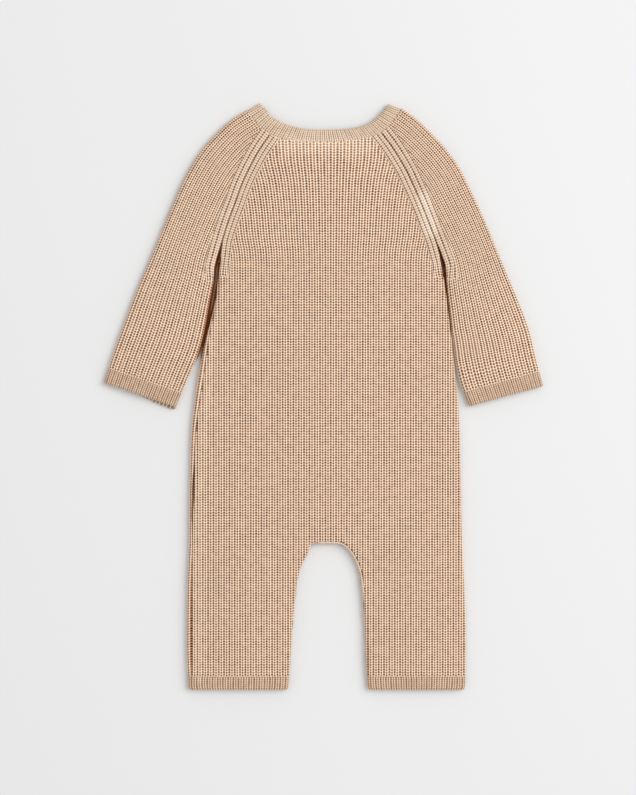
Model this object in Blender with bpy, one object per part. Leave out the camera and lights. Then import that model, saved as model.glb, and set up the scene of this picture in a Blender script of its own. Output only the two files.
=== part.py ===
"""Baby romper in chunky ribbed knit, laid flat on its front with its back upwards.

X runs across the garment, Y from the leg hems to the neck and Z up from the surface that it lies on.
The origin is under the middle of the garment. Seen from the back, the wearer's left is at -X.
The tables below are in millimetres on the flat garment, and the meshes are made in metres.
"""
import math
from bisect import bisect_right
from collections import namedtuple

import bmesh
import bpy
from mathutils import Vector

# ---- Cloth ----
MILLIMETRE = 0.001
WALL = 2.2              # thickness of the knit, at the bottom of a furrow
RIB_RISE = 0.9          # a rib of the body and sleeves above its furrows
WALE_RISE = 0.4         # a fine wale of the neckband, cuffs and hems
FOLD_RADIUS = 3.0       # outside of the bend where cloth turns under at an edge
SEAM_GAP = 0.35         # between two pieces that are sewn together
SHORTEST_STEP = 1.5     # a column's last two places are no closer than this
SHORTEST_LINK = 3.2     # tops of two columns further apart than this are joined along the seam,
LINK_STEP = 0.5         # with no spot closer to a top than this

# ---- Ribs across one layer ----
LEFT_LEG_RIBS = 18
CROTCH_RIBS = 6
RIGHT_LEG_RIBS = 20
SLEEVE_RIBS = 14
NECK_WALES = 72
CUFF_WALES = 35
HEM_WALES = 39

# ---- Heights along the body ----
HEM = -264.6            # free edge of both legs
HEM_JOINT = -252.9      # top of the ribbed hem
CROTCH = -133.2
UNDERARM = 120.6
FULL_SPREAD = -55.0     # above this the ribs are evenly spaced across the body
ABOVE_NECK = 245.0      # clear of the whole back, for searches
LEG_HEIGHTS = (HEM_JOINT, -232.0, -209.0, -187.0, -170.0, -156.0, -144.0, CROTCH)
BODY_HEIGHTS = (-132.3, -130.2, -116.0, -97.0, -76.0, -53.0, -28.0, -2.0, 24.0, 50.0, 75.0, 99.0,
                UNDERARM, 134.0, 148.0, 163.0, 179.0, 195.0, 211.0, 224.0)
LEVELLING = 8.0         # above the underarm the side bend flattens out in this height
BODY_MIDDLE = 6.7
RIGHT_TURN = 2.5        # the back goes this far round the right edge

# ---- Lengths along a sleeve, from the free edge of its cuff ----
CUFF = 13.5
SLEEVE_STEP = 20.0

Body = namedtuple("Body", "height left right turned_up")
BODY = [  # turned_up: the front comes this far round the left edge, onto the top
    Body(CROTCH, -120.2, 125.5, 5.0),
    Body(-100.8, -120.0, 124.6, 5.0),
    Body(-57.5, -119.0, 123.8, 5.2),
    Body(-30.6, -118.0, 122.9, 5.6),
    Body(-3.6, -115.0, 121.4, 6.0),
    Body(23.4, -111.0, 118.5, 6.2),
    Body(50.4, -105.6, 115.7, 4.5),
    Body(86.4, -96.6, 111.6, 1.2),
    Body(UNDERARM, -93.4, 106.9, 0.4),
]
Leg = namedtuple("Leg", "height left right")
LEFT_LEG = [
    Leg(HEM, -120.0, -32.0),
    Leg(-262.0, -121.2, -31.2),
    Leg(HEM_JOINT, -121.4, -30.6),
    Leg(-233.0, -122.2, -29.3),
    Leg(-201.6, -122.2, -27.2),
    Leg(-174.6, -121.8, -24.2),
    Leg(-156.6, -121.2, -20.8),
    Leg(-147.6, -120.8, -16.8),
    Leg(-139.5, -120.4, -12.8),
    Leg(CROTCH, -120.2, -11.8),
]
RIGHT_LEG = [
    Leg(HEM, 41.4, 127.0),
    Leg(-262.0, 40.4, 128.0),
    Leg(HEM_JOINT, 39.8, 128.4),
    Leg(-233.0, 38.7, 128.7),
    Leg(-201.6, 37.4, 128.4),
    Leg(-174.6, 35.1, 127.4),
    Leg(-156.6, 32.2, 126.6),
    Leg(-147.6, 28.6, 126.1),
    Leg(-139.5, 23.6, 125.8),
    Leg(CROTCH, 17.6, 125.5),
]
Fan = namedtuple("Fan", "height spread")
FAN = [  # the ribs open out above the underarm
    Fan(UNDERARM, 1.0), Fan(158.4, 1.09), Fan(194.4, 1.17), Fan(215.0, 1.25), Fan(ABOVE_NECK, 1.29),
]
Sleeve = namedtuple("Sleeve", "x y width")
LEFT_SLEEVE = [  # along the outer fold, from the cuff's edge to past the neck; width is square to the fold
    Sleeve(-197.5, 12.0, 68.4), Sleeve(-189.0, 36.9, 70.0), Sleeve(-178.2, 66.6, 71.0),
    Sleeve(-166.5, 97.2, 66.6), Sleeve(-155.7, 122.4, 60.8), Sleeve(-146.7, 144.0, 55.6),
    Sleeve(-134.1, 174.6, 55.0), Sleeve(-123.3, 198.0, 55.0), Sleeve(-111.6, 217.8, 55.0),
    Sleeve(-98.1, 234.0, 54.0), Sleeve(-83.7, 247.5, 53.0), Sleeve(-68.4, 257.4, 52.0),
    Sleeve(-54.9, 266.4, 50.0),
]
RIGHT_SLEEVE = [
    Sleeve(198.5, 9.0, 69.0), Sleeve(192.0, 32.8, 71.0), Sleeve(185.8, 58.5, 70.0),
    Sleeve(176.9, 82.8, 65.5), Sleeve(165.6, 109.8, 57.2), Sleeve(154.4, 136.8, 48.8),
    Sleeve(143.1, 163.8, 49.0), Sleeve(132.8, 185.4, 50.0), Sleeve(121.8, 207.0, 51.0),
    Sleeve(109.8, 223.2, 51.0), Sleeve(94.5, 239.4, 51.0), Sleeve(82.8, 250.2, 51.0),
    Sleeve(70.2, 259.2, 51.0), Sleeve(58.5, 266.4, 50.0),
]
Seam = namedtuple("Seam", "height x")
LEFT_BACK_SEAM = [  # the raglan from the underarm to the neckband
    Seam(UNDERARM, -93.2), Seam(131.4, -91.8), Seam(140.4, -90.5), Seam(156.6, -85.5),
    Seam(173.7, -79.2), Seam(190.8, -73.0), Seam(206.1, -65.9), Seam(221.4, -57.5), Seam(235.8, -47.7),
]
RIGHT_BACK_SEAM = [
    Seam(UNDERARM, 106.9), Seam(131.4, 104.0), Seam(140.4, 101.3), Seam(151.2, 97.2),
    Seam(165.6, 91.6), Seam(176.4, 87.2), Seam(185.4, 83.3), Seam(201.6, 75.9), Seam(213.3, 69.3),
    Seam(225.9, 61.2), Seam(237.6, 52.2),
]
LEFT_FRONT_SEAM = [
    Seam(UNDERARM, -93.2), Seam(140.4, -91.2), Seam(157.0, -87.0), Seam(174.0, -81.0),
    Seam(191.0, -74.0), Seam(208.0, -65.0), Seam(224.0, -55.0),
]
RIGHT_FRONT_SEAM = [
    Seam(UNDERARM, 106.9), Seam(140.4, 103.4), Seam(157.0, 97.4), Seam(174.0, 89.6),
    Seam(191.0, 81.0), Seam(208.0, 71.0), Seam(224.0, 60.0),
]

Spot = namedtuple("Spot", "x y")
BACK_NECK_SEAM = [  # of the neckband, from side fold to side fold past both raglans
    Spot(-68.4, 257.4), Spot(-61.2, 248.9), Spot(-54.9, 242.1), Spot(-47.7, 235.8),
    Spot(-36.0, 232.0), Spot(-20.7, 230.0), Spot(1.8, 229.5), Spot(19.8, 230.0), Spot(36.0, 232.4),
    Spot(52.2, 237.6), Spot(60.3, 244.8), Spot(65.5, 251.5), Spot(70.2, 259.2),
]
FRONT_NECK_SEAM = [
    Spot(-68.4, 257.4), Spot(-65.0, 246.0), Spot(-60.5, 235.0), Spot(-55.0, 224.0),
    Spot(-45.0, 213.5), Spot(-32.0, 206.0), Spot(-15.0, 202.5), Spot(2.3, 201.5), Spot(20.0, 202.5),
    Spot(37.0, 206.0), Spot(50.0, 213.5), Spot(60.0, 224.0), Spot(65.0, 235.0), Spot(68.5, 247.0),
    Spot(70.2, 259.2),
]
BACK_NECK_EDGE = [  # free edge of the neckband, from fold to fold
    Spot(-56.7, 264.6), Spot(-51.3, 258.3), Spot(-47.7, 252.9), Spot(-42.3, 249.3),
    Spot(-31.5, 244.4), Spot(-16.2, 240.8), Spot(1.8, 240.1), Spot(19.8, 240.8), Spot(33.3, 243.0),
    Spot(44.1, 247.5), Spot(53.1, 255.6), Spot(58.5, 263.7),
]
FRONT_NECK_EDGE = [
    Spot(-56.7, 264.6), Spot(-54.0, 250.0), Spot(-49.5, 240.0), Spot(-45.0, 231.0),
    Spot(-37.0, 222.5), Spot(-27.0, 216.5), Spot(-13.0, 213.4), Spot(2.3, 212.5),
    Spot(17.0, 213.4), Spot(32.0, 216.5), Spot(42.0, 222.5), Spot(50.0, 231.0), Spot(54.0, 240.0),
    Spot(57.0, 251.0), Spot(58.5, 263.7),
]
Swell = namedtuple("Swell", "x1 y1 x2 y2 reach rise")
SWELLS = [  # soft ridges and troughs of the upper layer, along a line from point 1 to point 2
    Swell(4.0, 150.0, 4.0, -85.0, 92.0, 1.9),       # body
    Swell(-76.0, -150.0, -76.0, -235.0, 44.0, 1.5),  # left leg
    Swell(83.0, -150.0, 84.0, -235.0, 44.0, 1.5),    # right leg
    Swell(-158.0, 25.0, -124.0, 110.0, 34.0, 1.6),   # left sleeve
    Swell(-116.0, 135.0, -92.0, 205.0, 30.0, 1.2),
    Swell(158.0, 25.0, 138.0, 95.0, 34.0, 1.6),      # right sleeve
    Swell(124.0, 130.0, 94.0, 205.0, 26.0, 1.3),
    Swell(58.0, 231.0, 80.0, 193.0, 7.0, -1.0),      # groove beside the right raglan
    Swell(80.0, 193.0, 94.0, 158.0, 8.0, -0.6),
    Swell(-93.0, 118.0, -96.0, 150.0, 12.0, -0.7),   # hollow above the left underarm
    Swell(107.0, 112.0, 103.0, 150.0, 10.0, -0.6),   # and above the right one
    Swell(120.0, 45.0, 133.0, 38.0, 9.0, -0.6),      # wrinkle across the right sleeve
    Swell(-140.0, 38.0, -120.0, 26.0, 12.0, 0.5),    # slack at the left cuff
]


# ---- Reading the tables ----
def smooth(marks, values, mark):
    """Value at a mark on the smooth curve through a table's marks and values."""
    if mark <= marks[0]:
        return values[0]
    if mark >= marks[-1]:
        return values[-1]
    low = bisect_right(marks, mark) - 1

    def slope(index):
        before, after = max(index - 1, 0), min(index + 1, len(marks) - 1)
        return (values[after] - values[before]) / (marks[after] - marks[before])

    span = marks[low + 1] - marks[low]
    t = (mark - marks[low]) / span
    start = (1 + 2 * t) * (1 - t) ** 2 * values[low] + t * (1 - t) ** 2 * span * slope(low)
    end = t * t * (3 - 2 * t) * values[low + 1] - t * t * (1 - t) * span * slope(low + 1)
    return start + end


def straight(marks, values, mark):
    """Value at a mark on straight lines between a table's rows."""
    mark = min(max(mark, marks[0]), marks[-1])
    low = min(bisect_right(marks, mark), len(marks) - 1) - 1
    t = (mark - marks[low]) / (marks[low + 1] - marks[low])
    return values[low] + t * (values[low + 1] - values[low])


def read(rows, height, column):
    return smooth([row.height for row in rows], [getattr(row, column) for row in rows], height)


class Path:
    """A smooth line through chosen places, walked by distance."""

    def __init__(self, rows):
        self.rows = rows
        self.marks = [0.0]
        for one, two in zip(rows, rows[1:]):
            self.marks.append(self.marks[-1] + math.hypot(two.x - one.x, two.y - one.y))
        self.length = self.marks[-1]

    def read(self, distance, column):
        return smooth(self.marks, [getattr(row, column) for row in self.rows], distance)

    def at(self, distance):
        return Vector((self.read(distance, "x"), self.read(distance, "y"), 0.0))

    def ahead(self, distance):
        """Direction of travel."""
        step = 2.0
        low, high = max(distance - step, 0.0), min(distance + step, self.length)
        return (self.at(high) - self.at(low)).normalized()


def finer(rows, parts=3):
    """The spots of a table with more between them, on the smooth line through them all."""
    path = Path(rows)
    spots = []
    for low, high in zip(path.marks, path.marks[1:]):
        marks = [low + (high - low) * part / parts for part in range(parts)]
        spots += [Spot(path.read(mark, "x"), path.read(mark, "y")) for mark in marks]
    return spots + [rows[-1]]


def ease(t):
    t = min(max(t, 0.0), 1.0)
    return t * t * (3 - 2 * t)


def last_inside(inside, low, high):
    """The furthest mark from low that is still inside, found by halving."""
    for _ in range(40):
        middle = (low + high) / 2
        if inside(middle):
            low = middle
        else:
            high = middle
    return low


def lift(x, y):
    """How far the upper layer stands above its lowest lie at a place."""
    total = 0.0
    for swell in SWELLS:
        run_x, run_y = swell.x2 - swell.x1, swell.y2 - swell.y1
        t = ((x - swell.x1) * run_x + (y - swell.y1) * run_y) / (run_x ** 2 + run_y ** 2)
        t = min(max(t, 0.0), 1.0)
        away = math.hypot(x - swell.x1 - t * run_x, y - swell.y1 - t * run_y)
        if away < swell.reach:
            total += swell.rise * (0.5 + 0.5 * math.cos(math.pi * away / swell.reach))
    return total


# ---- Skin: a place on the outside of the cloth, and the way into it ----
Skin = namedtuple("Skin", "place inward")


class Tube:
    """Two layers lying flat, joined by a bend at each edge.

    A place round it is a distance from the left edge: positive over the top, negative underneath.
    """

    def __init__(self, left, right):
        self.left = left
        self.right = right
        self.quarter = FOLD_RADIUS * math.pi / 2
        self.flat = right - left - 2 * FOLD_RADIUS
        self.half = self.flat + 2 * self.quarter

    def skin(self, around):
        side = 1.0 if around >= 0 else -1.0
        away = abs(around)
        if away > self.half:
            side, away = -side, 2 * self.half - away
        if away < self.quarter:
            turn = away / FOLD_RADIUS
            x, bend = self.left + FOLD_RADIUS * (1 - math.cos(turn)), 1.0
        elif away <= self.quarter + self.flat:
            turn = math.pi / 2
            x, bend = self.left + FOLD_RADIUS + away - self.quarter, 0.0
        else:
            turn = (self.half - away) / FOLD_RADIUS
            x, bend = self.right - FOLD_RADIUS * (1 - math.cos(turn)), -1.0
        z = FOLD_RADIUS + side * FOLD_RADIUS * math.sin(turn)
        inward = Vector((bend * math.cos(turn), 0.0, -side * math.sin(turn)))
        return Skin(Vector((x, 0.0, z)), inward)

    def over(self, x):
        """Distance round to a place on the flat of the top."""
        return self.quarter + x - self.left - FOLD_RADIUS


def wall(skin, rise, has_inside=True):
    """Outer and inner point of the cloth; the upper layer swells, and a rib rises from it."""
    top = max(0.0, -skin.inward.z)
    place = skin.place + Vector((0.0, 0.0, top * lift(skin.place.x, skin.place.y)))
    outer = place - skin.inward * (rise * top)
    return outer, (place + skin.inward * WALL) if has_inside else None


# ---- Meshes ----
Column = namedtuple("Column", "outside inside top rise")  # top is the skin at its last mark


class Knit:
    """A closed wall of knit, made from columns of places that run along the ribs."""

    def __init__(self, name):
        self.name = name
        self.mesh = bmesh.new()

    def pair(self, skin, rise, has_inside=True):
        """Outer vertex, and inner vertex or None."""
        outer, inner = wall(skin, rise, has_inside)
        outer = self.mesh.verts.new(outer * MILLIMETRE)
        return outer, self.mesh.verts.new(inner * MILLIMETRE) if has_inside else None

    def column(self, marks, skin_at, rise, has_inside=True):
        """Add the points of one column, as {mark: vertex} of its outside and its inside."""
        outside, inside = {}, {}
        for mark in marks:
            outside[mark], inside[mark] = self.pair(skin_at(mark), rise, has_inside)
        return Column(outside, inside if has_inside else None, skin_at(marks[-1]), rise)

    def link(self, one, two, spots):
        """Pairs of vertices along a seam, from one column's top to the next one's."""
        start, end = one.top.place, two.top.place
        pairs = []
        for spot in spots if (end - start).length > SHORTEST_LINK else ():
            before = math.hypot(spot.x - start.x, spot.y - start.y)
            after = math.hypot(spot.x - end.x, spot.y - end.y)
            share = before / (before + after)
            if min(before, after) > LINK_STEP:
                place = Vector((spot.x, spot.y, start.z + (end.z - start.z) * share))
                inward = one.top.inward.lerp(two.top.inward, share).normalized()
                rise = one.rise + (two.rise - one.rise) * share
                pairs.append(self.pair(Skin(place, inward), rise))
        return pairs

    def weave(self, one, two, link):
        """Fill between two columns; their tops and the link between them close in one last face."""
        shared = [mark for mark in one if mark in two]
        for low, high in zip(shared, shared[1:]):
            self.mesh.faces.new((one[low], two[low], two[high], one[high]))
        last = shared[-1]
        beyond_two = [two[mark] for mark in two if mark > last]
        beyond_one = [one[mark] for mark in one if mark > last]
        if beyond_one or beyond_two:
            self.mesh.faces.new([one[last], two[last]] + beyond_two + link[::-1] + beyond_one[::-1])

    def skins(self, columns, links):
        """Fill the outside through every column, and the inside through those that have one."""
        for one, two, link in zip(columns, columns[1:], links):
            self.weave(one.outside, two.outside, [outer for outer, _ in link])
        backed = [index for index, column in enumerate(columns) if column.inside is not None]
        for one, two in zip(backed, backed[1:]):
            inner_link = [inner for link in links[one:two] for _, inner in link]
            self.weave(columns[one].inside, columns[two].inside, inner_link)

    def rim(self, border):
        """Join outside and inside all round an edge; border lists (outer vertex, inner vertex or None)."""
        start = next(index for index, pair in enumerate(border) if pair[1] is not None)
        border = border[start:] + border[:start + 1]
        outers, inner = [border[0][0]], border[0][1]
        for outer, next_inner in border[1:]:
            outers.append(outer)
            if next_inner is not None:
                self.mesh.faces.new(outers + [next_inner, inner])
                outers, inner = [outer], next_inner

    def finish(self, colour):
        bmesh.ops.recalc_face_normals(self.mesh, faces=self.mesh.faces)
        bmesh.ops.triangulate(self.mesh, faces=[face for face in self.mesh.faces if len(face.verts) > 4])
        mesh = bpy.data.meshes.new(self.name)
        self.mesh.to_mesh(mesh)
        self.mesh.free()
        mesh.shade_smooth()
        mesh.set_sharp_from_angle(angle=math.radians(50))
        mesh.materials.append(knit_material(self.name + "_knit", colour))
        knitted = bpy.data.objects.new(self.name, mesh)
        bpy.context.collection.objects.link(knitted)


def knit_material(name, colour):
    material = bpy.data.materials.new(name)
    material.use_nodes = True
    shader = material.node_tree.nodes["Principled BSDF"]
    shader.inputs["Base Color"].default_value = (*colour, 1.0)
    shader.inputs["Roughness"].default_value = 0.95
    shader.inputs["Metallic"].default_value = 0.0
    return material


BODY_COLOUR = (0.60, 0.43, 0.31)
BAND_COLOUR = (0.55, 0.39, 0.28)


def clear_scene():
    for thing in list(bpy.data.objects):
        bpy.data.objects.remove(thing, do_unlink=True)


# ---- Body: back and front, each with its two legs ----
def body_tube(height):
    return Tube(read(BODY, height, "left"), read(BODY, height, "right"))


def leg_tube(rows, height):
    return Tube(read(rows, height, "left"), read(rows, height, "right"))


def shared_out(first, last, count):
    return [first + (last - first) * index / count for index in range(count + 1)]


class Panel:
    """One layer of the body: its columns are placed on the legs, and drawn together above the crotch."""

    def __init__(self, side, left_stops, right_stops, body_stops, crotch_columns):
        self.side = side                    # 1 for the upper layer, -1 for the lower one
        self.left_stops = left_stops        # functions of a tube and a height: distances round it
        self.right_stops = right_stops
        self.body_stops = body_stops
        self.left_last = len(left_stops(leg_tube(LEFT_LEG, CROTCH), CROTCH)) - 1
        self.right_first = self.left_last + crotch_columns
        self.last = self.right_first + len(right_stops(leg_tube(RIGHT_LEG, CROTCH), CROTCH)) - 1
        even = body_stops(body_tube(CROTCH), CROTCH)
        self.drawn = [stop - level for stop, level in zip(self.stops_at_crotch(), even)]

    def in_crotch(self, column):
        return self.left_last <= column <= self.right_first

    def leg_skin(self, column, height):
        if column <= self.left_last:
            tube = leg_tube(LEFT_LEG, height)
            return tube.skin(self.left_stops(tube, height)[column])
        tube = leg_tube(RIGHT_LEG, height)
        return tube.skin(self.right_stops(tube, height)[column - self.right_first])

    def stops_at_crotch(self):
        """Distances round the body at the crotch that meet the columns of the legs."""
        tube = body_tube(CROTCH)
        left_tube, right_tube = leg_tube(LEFT_LEG, CROTCH), leg_tube(RIGHT_LEG, CROTCH)
        stops = []
        for stop in self.left_stops(left_tube, CROTCH):
            x = left_tube.skin(stop).place.x
            on_flat = x > tube.left + FOLD_RADIUS
            stops.append(self.side * tube.over(x) if on_flat else stop)
        right = []
        for stop in self.right_stops(right_tube, CROTCH):
            x = right_tube.skin(stop).place.x
            on_flat = x < tube.right - FOLD_RADIUS
            beyond = right_tube.half - abs(stop)
            right.append(self.side * (tube.over(x) if on_flat else tube.half - beyond))
        between = shared_out(stops[-1], right[0], self.right_first - self.left_last)
        return stops + between[1:-1] + right

    def body_skin(self, column, height):
        tube = body_tube(height)
        share = ease((height - CROTCH) / (FULL_SPREAD - CROTCH))
        even = self.body_stops(tube, height)[column]
        skin = tube.skin(even + self.drawn[column] * (1 - share))
        depth = height - CROTCH
        if self.in_crotch(column) and depth < FOLD_RADIUS:
            turn = math.acos(1 - depth / FOLD_RADIUS)
            inward = Vector((0.0, math.cos(turn), -self.side * math.sin(turn)))
            middle = FOLD_RADIUS if self.side > 0 else FOLD_RADIUS - SEAM_GAP
            place = Vector((skin.place.x, 0.0, middle * (1 + self.side * math.sin(turn))))
            skin = Skin(place, inward)
        return skin

    def skin(self, column, height):
        """Place and inward direction of a column at a height."""
        if height < CROTCH:
            skin = self.leg_skin(column, height)
        elif height == CROTCH and self.in_crotch(column):
            skin = self.body_skin(column, height)
            if column in (self.left_last, self.right_first):
                corner = skin.inward + self.leg_skin(column, height).inward
                skin = Skin(skin.place, corner.normalized())
        elif height == CROTCH:
            skin = self.leg_skin(column, height)
        elif height <= UNDERARM:
            skin = self.body_skin(column, height)
        else:
            skin = self.chest_skin(column, height)
        return Skin(Vector((skin.place.x, height, skin.place.z)), skin.inward)

    def chest_skin(self, column, height):
        """Above the underarm the layer is flat, and its ribs open out towards the neck."""
        skin = self.body_skin(column, UNDERARM)
        spread = read(FAN, height, "spread")
        level = ease((height - UNDERARM) / LEVELLING)
        x = BODY_MIDDLE + (skin.place.x - BODY_MIDDLE) * spread
        z = skin.place.z * (1 - level) + FOLD_RADIUS * (1 + self.side) * level
        inward = skin.inward * (1 - level) + Vector((0.0, 0.0, -self.side)) * level
        return Skin(Vector((x, 0.0, z)), inward.normalized())

    def top(self, column, border):
        """Height at which a column meets the raglan or the neck."""
        xs, heights = [spot.x for spot in border], [spot.y for spot in border]
        return last_inside(
            lambda height: height < straight(xs, heights, self.skin(column, height).place.x),
            UNDERARM, ABOVE_NECK)


def back_left_stops(tube, height):
    return shared_out(read(BODY, height, "turned_up"), tube.half, 2 * LEFT_LEG_RIBS)


def back_right_stops(tube, height):
    return shared_out(0.0, tube.half + RIGHT_TURN, 2 * RIGHT_LEG_RIBS)


def back_body_stops(tube, height):
    ribs = LEFT_LEG_RIBS + CROTCH_RIBS + RIGHT_LEG_RIBS
    return shared_out(read(BODY, height, "turned_up"), tube.half + RIGHT_TURN, 2 * ribs)


LEFT_BEND_STEPS = 4      # of the front, round the left edge of the garment
INNER_BEND_STEPS = 2     # of the front, up to the inner leg's seam
RIGHT_BEND_STEPS = 2
FRONT_LEG_STEPS = 6      # across the flat of one leg
FRONT_CROTCH_STEPS = 3


def front_left_stops(tube, height):
    seam = read(BODY, height, "turned_up") - SEAM_GAP
    bend = shared_out(seam, -tube.quarter, LEFT_BEND_STEPS)
    flat = shared_out(-tube.quarter, -tube.quarter - tube.flat, FRONT_LEG_STEPS)
    inner = shared_out(-tube.quarter - tube.flat, SEAM_GAP - tube.half, INNER_BEND_STEPS)
    return bend + flat[1:] + inner[1:]


def front_right_end(tube):
    """Round the right edge, from the flat underside to the back's edge."""
    return shared_out(-tube.quarter - tube.flat, RIGHT_TURN + SEAM_GAP - tube.half, RIGHT_BEND_STEPS)


def front_right_stops(tube, height):
    inner = shared_out(-SEAM_GAP, -tube.quarter, INNER_BEND_STEPS)
    flat = shared_out(-tube.quarter, -tube.quarter - tube.flat, FRONT_LEG_STEPS)
    return inner + flat[1:] + front_right_end(tube)[1:]


def front_body_stops(tube, height):
    seam = read(BODY, height, "turned_up") - SEAM_GAP
    bend = shared_out(seam, -tube.quarter, LEFT_BEND_STEPS)
    steps = 2 * FRONT_LEG_STEPS + 2 * INNER_BEND_STEPS + FRONT_CROTCH_STEPS
    flat = shared_out(-tube.quarter, -tube.quarter - tube.flat, steps)
    return bend + flat[1:] + front_right_end(tube)[1:]


def top_border(left_seam, neck_seam, right_seam):
    """Spots along a layer's upper edge: up one raglan, round the neck and down the other."""
    left = [Spot(row.x, row.height) for row in left_seam[:-1]]
    right = [Spot(row.x, row.height) for row in right_seam[:-1]]
    low, high = left_seam[-1].x, right_seam[-1].x
    neck = [Spot(spot.x, spot.y - SEAM_GAP) for spot in finer(neck_seam) if low <= spot.x <= high]
    return left + neck + right[::-1]


def make_panel(name, panel, border, ribbed):
    """Build the back or the front: its columns, its two skins and its one long rim."""
    knit = Knit(name)
    columns = []
    for column in range(panel.last + 1):
        in_leg = not panel.left_last < column < panel.right_first
        top = panel.top(column, border)
        heights = list(LEG_HEIGHTS if in_leg else LEG_HEIGHTS[-1:])
        heights += [height for height in BODY_HEIGHTS if height < top - SHORTEST_STEP]
        ridge = ribbed and column % 2 == 1
        columns.append(knit.column(
            heights + [top], lambda height, column=column: panel.skin(column, height),
            RIB_RISE if ridge else 0.0, has_inside=not ridge))
    links = []
    for one, two in zip(columns, columns[1:]):
        low, high = sorted((one.top.place.x, two.top.place.x))
        spots = [spot for spot in border if low < spot.x < high]
        links.append(knit.link(one, two, spots if one.top.place.x < two.top.place.x else spots[::-1]))
    knit.skins(columns[:panel.left_last + 1], links)
    knit.skins(columns[panel.left_last:panel.right_first + 1], links[panel.left_last:])
    knit.skins(columns[panel.right_first:], links[panel.right_first:])

    def pair(column, mark):
        inside = columns[column].inside
        return columns[column].outside[mark], inside[mark] if inside is not None else None

    def pairs_up(column, low, high):
        return [pair(column, mark) for mark in columns[column].outside if low < mark < high]

    tops = [max(column.outside) for column in columns]
    border = [pair(column, HEM_JOINT) for column in range(panel.left_last + 1)]
    border += pairs_up(panel.left_last, HEM_JOINT, CROTCH)
    border += [pair(column, CROTCH) for column in range(panel.left_last, panel.right_first + 1)]
    border += pairs_up(panel.right_first, HEM_JOINT, CROTCH)[::-1]
    border += [pair(column, HEM_JOINT) for column in range(panel.right_first, panel.last + 1)]
    border += pairs_up(panel.last, HEM_JOINT, tops[-1])
    for column in range(panel.last, 0, -1):
        border += [pair(column, tops[column])] + links[column - 1][::-1]
    border.append(pair(0, tops[0]))
    border += pairs_up(0, HEM_JOINT, tops[0])[::-1]
    knit.rim(border)
    knit.finish(BODY_COLOUR)


def make_back():
    border = top_border(LEFT_BACK_SEAM, BACK_NECK_SEAM, RIGHT_BACK_SEAM)
    panel = Panel(1, back_left_stops, back_right_stops, back_body_stops, 2 * CROTCH_RIBS)
    make_panel("back_panel", panel, border, ribbed=True)


def make_front():
    border = top_border(LEFT_FRONT_SEAM, FRONT_NECK_SEAM, RIGHT_FRONT_SEAM)
    panel = Panel(-1, front_left_stops, front_right_stops, front_body_stops, FRONT_CROTCH_STEPS)
    make_panel("front_panel", panel, border, ribbed=False)


# ---- Sleeves, cuffs, hems and neckband: closed tubes and rings ----
UNDERSIDE_STEPS = 6
BEND_STEPS = 3
FRONT_NECK_STEPS = 48
RAGLAN_INSET = 0.47      # across the body, which leaves the gap square to a slanting seam
SHOULDER_INSET = 0.9     # the same along the neckband, which slants more


def underside_stops(tube):
    """Distances round the plain underside, from the far edge back to the near one."""
    far_bend = shared_out(-tube.half, -tube.half + tube.quarter, BEND_STEPS)
    flat = shared_out(-tube.half + tube.quarter, -tube.quarter, UNDERSIDE_STEPS)
    near_bend = shared_out(-tube.quarter, 0.0, BEND_STEPS)
    return far_bend[1:] + flat[1:] + near_bend[1:-1]


def close_tube(knit, columns, links, colour):
    """Fill the skins all round, and the rims at both ends."""
    knit.skins(columns + columns[:1], links)
    for end in (min, max):
        border = []
        for column, link in zip(columns, links):
            mark = end(column.outside)
            border.append((column.outside[mark], column.inside[mark] if column.inside else None))
            border += link if end is max else []
        knit.rim(border)
    knit.finish(colour)


def make_tube(name, ribs, rise, tube_at, frame_at, marks, colour, top_of=None, spots_between=None):
    """Build a flat tube, ribbed over the top and plain underneath.

    frame_at turns a tube's own place into a place on the garment. top_of gives a column's last mark,
    and spots_between the seam's spots between two columns' tops.
    """
    knit = Knit(name)
    over = [index / (2 * ribs) for index in range(2 * ribs + 1)]
    count = len(over) + len(underside_stops(tube_at(marks[0])))

    def skin_of(index, mark):
        tube = tube_at(mark)
        stop = over[index] * tube.half if index < len(over) else underside_stops(tube)[index - len(over)]
        return frame_at(mark, tube.skin(stop))

    columns = []
    for index in range(count):
        ridge = index < len(over) and index % 2 == 1
        own_marks = list(marks)
        if top_of is not None:
            top = top_of(lambda mark, index=index: skin_of(index, mark), is_upper=index < len(over))
            own_marks = [mark for mark in marks if mark < top - SHORTEST_STEP] + [top]
        columns.append(knit.column(own_marks, lambda mark, index=index: skin_of(index, mark),
                                   rise if ridge else 0.0, has_inside=not ridge))
    links = [[] for _ in columns]
    if spots_between is not None:
        for index, column in enumerate(columns):
            after = columns[(index + 1) % count]
            is_upper = index < len(over) - 1
            links[index] = knit.link(column, after, spots_between(column.top, after.top, is_upper))
    close_tube(knit, columns, links, colour)


def make_hem(name, rows):
    make_tube(name, HEM_WALES, WALE_RISE, lambda height: leg_tube(rows, height),
              lambda height, skin: Skin(skin.place + Vector((0.0, height, 0.0)), skin.inward),
              (HEM, HEM_JOINT - SEAM_GAP), BAND_COLOUR)


def sleeve_border(seam, neck_seam, side):
    """Spots along a sleeve's upper edge, set in by the gap: up the raglan and out to the side fold."""
    raglan = [Spot(row.x + side * RAGLAN_INSET, row.height) for row in seam[:-1]]
    shoulder = [spot for spot in finer(neck_seam) if side * spot.x >= side * seam[-1].x]
    shoulder.sort(key=lambda spot: spot.y)
    return raglan + [Spot(spot.x + side * SHOULDER_INSET, spot.y) for spot in shoulder]


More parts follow.
